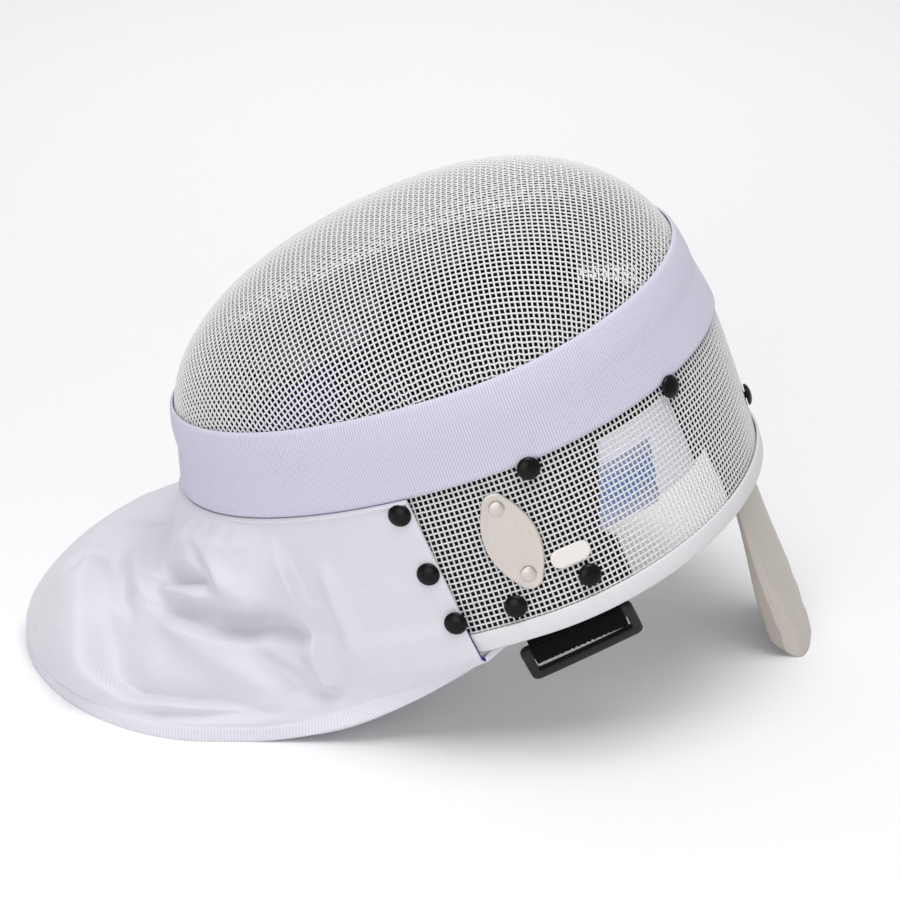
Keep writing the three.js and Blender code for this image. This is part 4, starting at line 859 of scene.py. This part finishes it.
tongue_turns = np.linspace(0, 2 * math.pi, 64, endpoint=False)
ring_k = 0.5 + 0.5 * np.sign(np.cos(tongue_turns)) * np.abs(np.cos(tongue_turns)) ** 0.28
ring_in = 0.5 - 0.5 * np.sign(np.sin(tongue_turns)) * np.abs(np.sin(tongue_turns)) ** 0.28
tongue_rings = []
for share in np.linspace(0, 1, 90):
    v = (ring_k - 0.5) * TONGUE_WIDTH
    skew = 2 * ring_k - 1
    twist = eased(TONGUE[:, 0], TONGUE[:, 2], np.array(share)) * skew
    thick = eased(TONGUE[:, 0], TONGUE[:, 1], np.array(share))
    puff = 0.9 * np.sin(share * 60 + 2.2 * np.sin(v / 9)) * smooth((share - 0.72) / 0.15)
    puff = puff * smooth((1 - share) / 0.04)
    flare = 3.4 * smooth((share - 0.55) / 0.35) * (1 - ring_in)
    inner = thick * ring_in + np.where(ring_in > 0.5, -1, 1) * 0.35 * puff

    def reach(depth):
        hang = TONGUE_HANGS_IN * smooth((depth - CROWN_RIVET_DEPTH - WASHER) / 24)
        return tongue_face - TONGUE_BOW * skew ** 2 + twist - hang - inner + flare
    full = (SEAM_HEIGHT + reach(SIDE_DEPTH * 2) * math.sin(TILT)) / math.cos(TILT)
    depth = mix(TONGUE_TOP, full, share)
    shorter = TONGUE_FOOT_RISE / math.cos(TILT) * smooth((share - 0.85) / 0.15)
    shorter = shorter * np.clip((ring_in - 0.35) / 0.65, 0, 1)
    ring = in_world(reach(depth), v, -(depth - shorter))
    ring[:, 0] += SHIFT
    ring[:, 2] = np.maximum(ring[:, 2], 0)
    tongue_rings.append(ring)
sole = tongue_rings[-1].copy()
for shrink in (0.85, 0.5):
    ring = mix(sole.mean(0), sole, shrink)
    ring[:, 2] = np.where(ring_in < 0.7, 0, ring[:, 2])
    tongue_rings.append(ring)
tongue = loop_body("vinyl_tongue", tongue_rings, [vinyl, tongue_painted_shade])
# Painted shade: the inner half of each ring takes the darker grey-brown.
tongue_looks = np.r_[np.tile(ring_in > 0.45, len(tongue_rings) - 1), 0, 0]
tongue.data.polygons.foreach_set("material_index", tongue_looks.astype(np.int32))
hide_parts("tongue")


# The rivets: tubular steel rivets with black enamelled domed caps, driven through cloth and mesh
# and closed on washers inside. A thin dust breaks the highlight on the enamel.
cap_black, cap_skin = new_material("black_glossy_rivet_cap", {"Base Color": linear("#070709"),
    "Specular IOR Level": 0.2})
cap_dust = add_node(cap_black, "ShaderNodeTexNoise", {"Scale": 400.0, "Detail": 4.0})
cap_rough = add_node(cap_black, "ShaderNodeMapRange", {"Value": cap_dust.outputs["Fac"], "To Min": 0.18,
    "To Max": 0.34})
join(cap_black, cap_rough.outputs[0], cap_skin.inputs["Roughness"])
SHANK, RIVET_HEAD, RIVET_RISE, WASHER_THICK = 1.8, 6, 3, 1.2
SIDE_RIVETS = [
    # name, depth as a share of SIDE_DEPTH, angle from the crown in degrees, what it holds
    ("bib_rivet_top", 0.286, 113.1, "bib"), ("bib_rivet_mid", 0.588, 110.9, "bib"),
    ("bib_rivet_low", 0.838, 108.1, "bib"), ("band_rivet_back", 0.25, 81.2, "band"),
    ("band_rivet_crown", 0.252, 40.4, "band"), ("strap_rivet_crown", 0.826, 77.2, "strap"),
    ("strap_rivet_bib", 0.846, 94.8, "strap"),
]


def stand_on_wall(angle, depth, out, spin=0.0):
    n = wall_normal(angle, depth).reshape(3)
    x = unit(DOWN - n * (DOWN @ n))
    y = np.cross(n, x)
    x, y = x * math.cos(spin) + y * math.sin(spin), y * math.cos(spin) - x * math.sin(spin)
    return np.array([x, y, n]), wall_point(angle, depth).reshape(3) + n * out


def rivet(node, angle, depth, under, grip, look, head=RIVET_HEAD, rise=RIVET_RISE, washer=WASHER):
    dome = [(head * math.sin(a), rise * (0.12 + 0.88 * math.cos(a)))
        for a in np.linspace(0.02, math.pi / 2, 12)]
    profile = dome + [(head, 0.06 * rise), (head - 0.15, 0), (SHANK, 0), (SHANK, -grip),
        (washer - 0.3, -grip), (washer, -grip - 0.3), (washer, -grip - WASHER_THICK + 0.3),
        (washer - 0.4, -grip - WASHER_THICK), (0.05, -grip - WASHER_THICK)]
    turns = np.linspace(0, 2 * math.pi, 36, endpoint=False)
    axes, middle = stand_on_wall(angle, depth, under)
    rings = [middle + (r * np.cos(turns))[:, None] * axes[0] + (r * np.sin(turns))[:, None] * axes[1]
        + z * axes[2] for r, z in profile]
    piece = loop_body(node + "_turned", rings, [look])
    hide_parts(node)


inside_mesh, web_depth, WEB_THICK = 2 + 2 * GAP, 3.3, 1.5
for side, word in ((-1, "left"), (1, "right")):
    for name, share, angle, holds in SIDE_RIVETS:
        depth = share * SIDE_DEPTH
        low = float(smooth((depth + RIVET_HEAD - 0.8 * SIDE_DEPTH) / 10)) * (BINDING_THICK + GAP)
        under = {"bib": BIB_EASE + BIB_THICK + low + GAP, "band": BAND_THICK + 2 * GAP, "strap": GAP}[holds]
        behind = inside_mesh + (GAP + web_depth if holds == "strap" else 0)
        rivet(f"{name}_{word}", side * math.radians(angle), depth, under, under + behind, cap_black)
rivet("crown_rivet", 0.0, CROWN_RIVET_DEPTH, GAP, inside_mesh + 4.5 + 4 * GAP, cap_black)


# The identity plate: stamped sheet steel, satin, with rounded tips and a swelling middle, bare of
# any marking, on two small domed rivets. Beside it sits a blank oval sticker.
PLATE_LONG, PLATE_WIDE, PLATE_THICK, PLATE_TIP, PLATE_TURN = 54, 28, 0.8, 7, math.radians(6)
PLATE_SHARE, PLATE_ANGLE, PLATE_SPAN = 0.549, math.radians(90.6), 37
# Sheet polished in one direction: fine scratches along the plate, in a warm grey that is a painted reflection
# of the room.
steel, steel_skin = new_material("satin_stainless_sheet", {"Metallic": 0.75})
scratch_map = add_node(steel, "ShaderNodeMapping", {
    "Vector": add_node(steel, "ShaderNodeTexCoord").outputs["Object"], "Scale": (900.0, 60.0, 60.0)})
scratch = add_node(steel, "ShaderNodeTexNoise", {"Vector": scratch_map.outputs[0], "Scale": 3.0,
    "Detail": 6.0})
steel_rough = add_node(steel, "ShaderNodeMapRange", {"Value": scratch.outputs["Fac"], "To Min": 0.3,
    "To Max": 0.5})
join(steel, steel_rough.outputs[0], steel_skin.inputs["Roughness"])
patterned(steel, steel_skin, scratch.outputs["Fac"], "#BFB8B0", "#D9D3CC")
# Calendered white vinyl, faintly uneven and half matt.
sticker = grainy("blank_white_vinyl_sticker", 200.0, 3.0, "#E1DAD8", "#EDE7E5", {"Roughness": 0.4})[0]


def stamped(name, outline_mm, axes, middle, thick, look, dish_mm=0.0):
    """A thin plate with a rolled edge, from its outline about the middle."""
    outline_mm = np.asarray(outline_mm)
    length = np.linalg.norm(outline_mm, axis=1, keepdims=True)
    steps = [(outline_mm * (1 - shrink / length), z) for shrink, z in (
        (0.0, 0.0), (0.0, 0.6 * thick), (0.25, thick), (1.2, thick), (2.2, thick + dish_mm))]
    steps += [(outline_mm * scale, thick + dish_mm) for scale in (0.66, 0.33, 0.05)]
    rings = [middle + ring[:, :1] * axes[0] + ring[:, 1:] * axes[1] + z * axes[2] for ring, z in steps]
    return loop_body(name, rings, [look])


half = PLATE_LONG / 2 - PLATE_TIP
lean = math.atan2(PLATE_WIDE / 2 - PLATE_TIP, half)
tip = (half + PLATE_TIP * math.sin(lean), PLATE_TIP * math.cos(lean))
right_arc = [(half + PLATE_TIP * math.cos(a), PLATE_TIP * math.sin(a))
    for a in np.linspace(-math.pi / 2 + lean, math.pi / 2 - lean, 24)]
swell = [((1 - k) ** 2 * tip[0] - k * k * tip[0],
    (1 - k) ** 2 * tip[1] + 2 * k * (1 - k) * (PLATE_WIDE - tip[1]) + k * k * tip[1])
    for k in np.linspace(0, 1, 26)[1:-1]]
plate_line = right_arc + swell
plate_line += [(-x, -y) for x, y in plate_line]
plate_axes, plate_middle = stand_on_wall(-PLATE_ANGLE, PLATE_SHARE * SIDE_DEPTH, GAP, PLATE_TURN)
plate = stamped("bare_identity_plate", plate_line, plate_axes, plate_middle, PLATE_THICK, steel,
    -0.12)
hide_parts("id_plate")
plate_radius = float(wall_radius(PLATE_ANGLE, PLATE_SHARE * SIDE_DEPTH))
for k, end in enumerate((-1, 1)):
    along_plate = end * PLATE_SPAN / 2
    rivet(f"plate_rivet_{k + 1}", -PLATE_ANGLE + along_plate * math.sin(PLATE_TURN) / plate_radius,
        PLATE_SHARE * SIDE_DEPTH + along_plate * math.cos(PLATE_TURN), 3 * GAP + PLATE_THICK,
        3 * GAP + PLATE_THICK + inside_mesh, steel, head=4, rise=1, washer=3)
LABEL_ANGLE, LABEL_SHARE, LABEL_RADIUS, LABEL_STRAIGHT, LABEL_THICK = math.radians(79.5), 0.702, 5, 5.5, 0.6
label_axes, label_middle = stand_on_wall(-LABEL_ANGLE, LABEL_SHARE * SIDE_DEPTH, GAP)
label_line = [(LABEL_RADIUS * math.cos(a), LABEL_STRAIGHT + LABEL_RADIUS * math.sin(a))
    for a in np.linspace(0, math.pi, 20)]
label_line += [(-x, -y) for x, y in label_line]
label = stamped("blank_sticker", label_line, label_axes, label_middle, LABEL_THICK, sticker)
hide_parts("blank_label")


# The strap loops: black nylon webbing riveted inside the rim, down round the top bar of a moulded
# ladder buckle and back up. The cut edge is a little fuzzy.
WEB_WIDE, WEB_TOP, WEB_BENDS, WEB_PAST_BAR, WEB_SKEW = 50, 0.79, 7, 5.4, 2.2
STRAP_ANGLE, BUCKLE_ANGLE = math.radians(86.5), math.radians(84.6)
BUCKLE_WIDE, BUCKLE_TALL, BUCKLE_THICK, BUCKLE_TOP_BAR = 62, 25, 4, 8.5
BUCKLE_LOW_BAR, BUCKLE_SIDE_BAR, BUCKLE_DROP, BUCKLE_CORNER = 5.8, 5, 6, 4
BUCKLE_LEAN, BUCKLE_ROLL = math.radians(23), math.radians(4.6)
# Heavy ribbed weave, 1.6 mm across its ribs; it swallows light.
webbing, webbing_skin = new_material("black_nylon_webbing", {"Roughness": 0.95, "Specular IOR Level": 0.08})
web_rib = cloth_wave(webbing, "Y", 1.6)
web_tone = add_node(webbing, "ShaderNodeMapRange", {"Value": web_rib, "From Min": -1.0})
patterned(webbing, webbing_skin, web_tone.outputs[0], "#070708", "#121214", (0.5, 0.0003), web_rib)
# Glass-filled nylon from a sparked mould: half matt, with a fine pebble.
moulded = grainy("black_moulded_nylon", 900.0, 3.0, "#151417", "#1F1E21", {
    "Roughness": 0.42, "Specular IOR Level": 0.24}, (0.15, 0.0002))[0]


def turned_about(vector, axis, angle):
    return (vector * math.cos(angle) + np.cross(axis, vector) * math.sin(angle)
        + axis * (axis @ vector) * (1 - math.cos(angle)))


def buckle_frame(side):
    at = side * BUCKLE_ANGLE
    inset = 2 + 3 * GAP + BINDING_THICK + WEB_THICK + GAP / 2
    top = wall_point(at, SIDE_DEPTH + BUCKLE_DROP, -inset).reshape(3)
    chord = wall_point(at - side * 0.15, SIDE_DEPTH) - wall_point(at + side * 0.15, SIDE_DEPTH)
    chord = unit(chord.reshape(3))
    flat = unit(np.cross(chord, DOWN))
    out = flat if flat @ np.array([0, -side, 0]) < 0 else -flat
    across = turned_about(chord, out, -side * BUCKLE_ROLL)
    down = unit(np.cross(across, out))
    if down[2] > 0:
        down = -down
    low = down * math.cos(BUCKLE_LEAN) - out * math.sin(BUCKLE_LEAN)
    normal = out * math.cos(BUCKLE_LEAN) + down * math.sin(BUCKLE_LEAN)
    return top, across, low, normal


def rounded_line(width, low, high, corner, bow, count):
    """A rectangle with round corners and a bowed lower side, as points at even distances."""
    x = width / 2
    line = []
    for cx, cy, start in ((x - corner, low + corner, -math.pi / 2), (x - corner, high - corner, 0),
            (-x + corner, high - corner, math.pi / 2), (-x + corner, low + corner, math.pi)):
        line += [(cx + corner * math.cos(start + a), cy + corner * math.sin(start + a))
            for a in np.linspace(0, math.pi / 2, 9)]
    dense = []
    for (x0, y0), (x1, y1) in zip(line, line[1:] + line[:1]):
        steps = max(1, int(math.hypot(x1 - x0, y1 - y0) / 3))
        dense += [(mix(x0, x1, k / steps), mix(y0, y1, k / steps)) for k in range(steps)]
    dense = [(px, py + bow * (1 - (px / x) ** 2) * (py > (low + high) / 2)) for px, py in dense]
    closed = np.array(dense + dense[:1])
    lengths = np.r_[0, np.cumsum(np.linalg.norm(np.diff(closed, axis=0), axis=1))]
    at = np.linspace(0, lengths[-1], count, endpoint=False)
    return np.stack([np.interp(at, lengths, closed[:, k]) for k in (0, 1)], -1)


window_wide, window_low = BUCKLE_WIDE - 2 * BUCKLE_SIDE_BAR, BUCKLE_TALL - BUCKLE_LOW_BAR
outer_line = rounded_line(BUCKLE_WIDE, 0, BUCKLE_TALL, BUCKLE_CORNER, 0.4, 160)
window_line = rounded_line(window_wide, BUCKLE_TOP_BAR, window_low, 1.5, 0.5, 640)
centre = np.array([0, (BUCKLE_TOP_BAR + window_low) / 2])
outer_turn = np.arctan2(*((outer_line - centre) / (BUCKLE_WIDE / 2, BUCKLE_TALL / 2)).T[::-1])
window_halves = (window_wide / 2, (window_low - BUCKLE_TOP_BAR) / 2)
window_turn = np.arctan2(*((window_line - centre) / window_halves).T[::-1])
gap_turn = np.abs((outer_turn[:, None] - window_turn[None] + math.pi) % (2 * math.pi) - math.pi)
inner_line = window_line[gap_turn.argmin(1)]
# Round the bar: the share of the way from the outer edge (0) or the window (1), and the height.
deep = BUCKLE_THICK / 2
front = [(0, 0, deep - 0.9), (0, 0.3, deep - 0.25), (0, 0.95, deep), (1, 0.95, deep), (1, 0.3, deep - 0.25),
    (1, 0, deep - 0.9)]
back_face = [(edge, inset, -z) for edge, inset, z in front[::-1]]
bar_section = back_face[-1:] + front + back_face[:-1]
for side, word in ((-1, "left"), (1, "right")):
    top, across, low, normal = buckle_frame(side)
    rings = []
    for a, b in zip(outer_line, inner_line):
        in_dir = (b - a) / np.linalg.norm(b - a)
        ring = [(b - in_dir * inset if edge else a + in_dir * inset, z) for edge, inset, z in bar_section]
        rings.append([top + p[0] * across + p[1] * low + z * normal for p, z in ring])
    buckle = loop_body(f"ladder_buckle_{word}", rings, [moulded], closed=True)
    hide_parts(f"buckle_{word}")

    web_outer, web_inner = [], []
    bar = BUCKLE_THICK / 2 + GAP
    outer_face = 2 + 2 * GAP
    lip_face = outer_face + BINDING_THICK + GAP
    lip_top = SIDE_DEPTH - BINDING_INNER_LIP
    web_top = WEB_TOP * SIDE_DEPTH
    for x in np.linspace(-0.5, 0.5, 41) * WEB_WIDE:
        fray = 0.45 * math.sin(x * 7.1) + 0.35 * math.sin(x * 17.3) + 1.6 * (x / WEB_WIDE) ** 2

        def layer(extra):
            depth = np.array([web_top, lip_top - WEB_BENDS, lip_top - 1, SIDE_DEPTH + BINDING_THICK + GAP])
            inset = np.array([outer_face, outer_face, lip_face, lip_face]) + extra
            angle = mix(STRAP_ANGLE, BUCKLE_ANGLE, (depth - web_top) / (SIDE_DEPTH - web_top))
            return list(wall_point(side * (angle - x / wall_radius(angle, SIDE_DEPTH)), depth, -inset))

        def bend(radius, stop):
            return [top + x * across + (stop - radius + radius * math.sin(a)) * low
                + radius * math.cos(a) * normal for a in np.linspace(0, math.pi, 9)]
        stop = BUCKLE_TOP_BAR + WEB_PAST_BAR - WEB_SKEW * (x / WEB_WIDE) * side
        start = [top + x * across - 2 * GAP * low + out * normal for out in (bar + WEB_THICK, bar)]
        finish = [top + x * across - 2 * GAP * low - out * normal for out in (bar + WEB_THICK, bar)]
        web_outer.append(layer(0) + [start[0]] + bend(bar + WEB_THICK, stop + fray) + [finish[0]]
            + layer(2 * WEB_THICK + GAP)[::-1])
        web_inner.append(layer(WEB_THICK) + [start[1]] + bend(bar, stop - WEB_THICK) + [finish[1]]
            + layer(WEB_THICK + GAP)[::-1])
    web_piece = cloth_body(f"webbing_loop_{word}", np.array(web_outer).transpose(1, 0, 2),
        np.array(web_inner).transpose(1, 0, 2), [webbing])
    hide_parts(f"strap_loop_{word}")
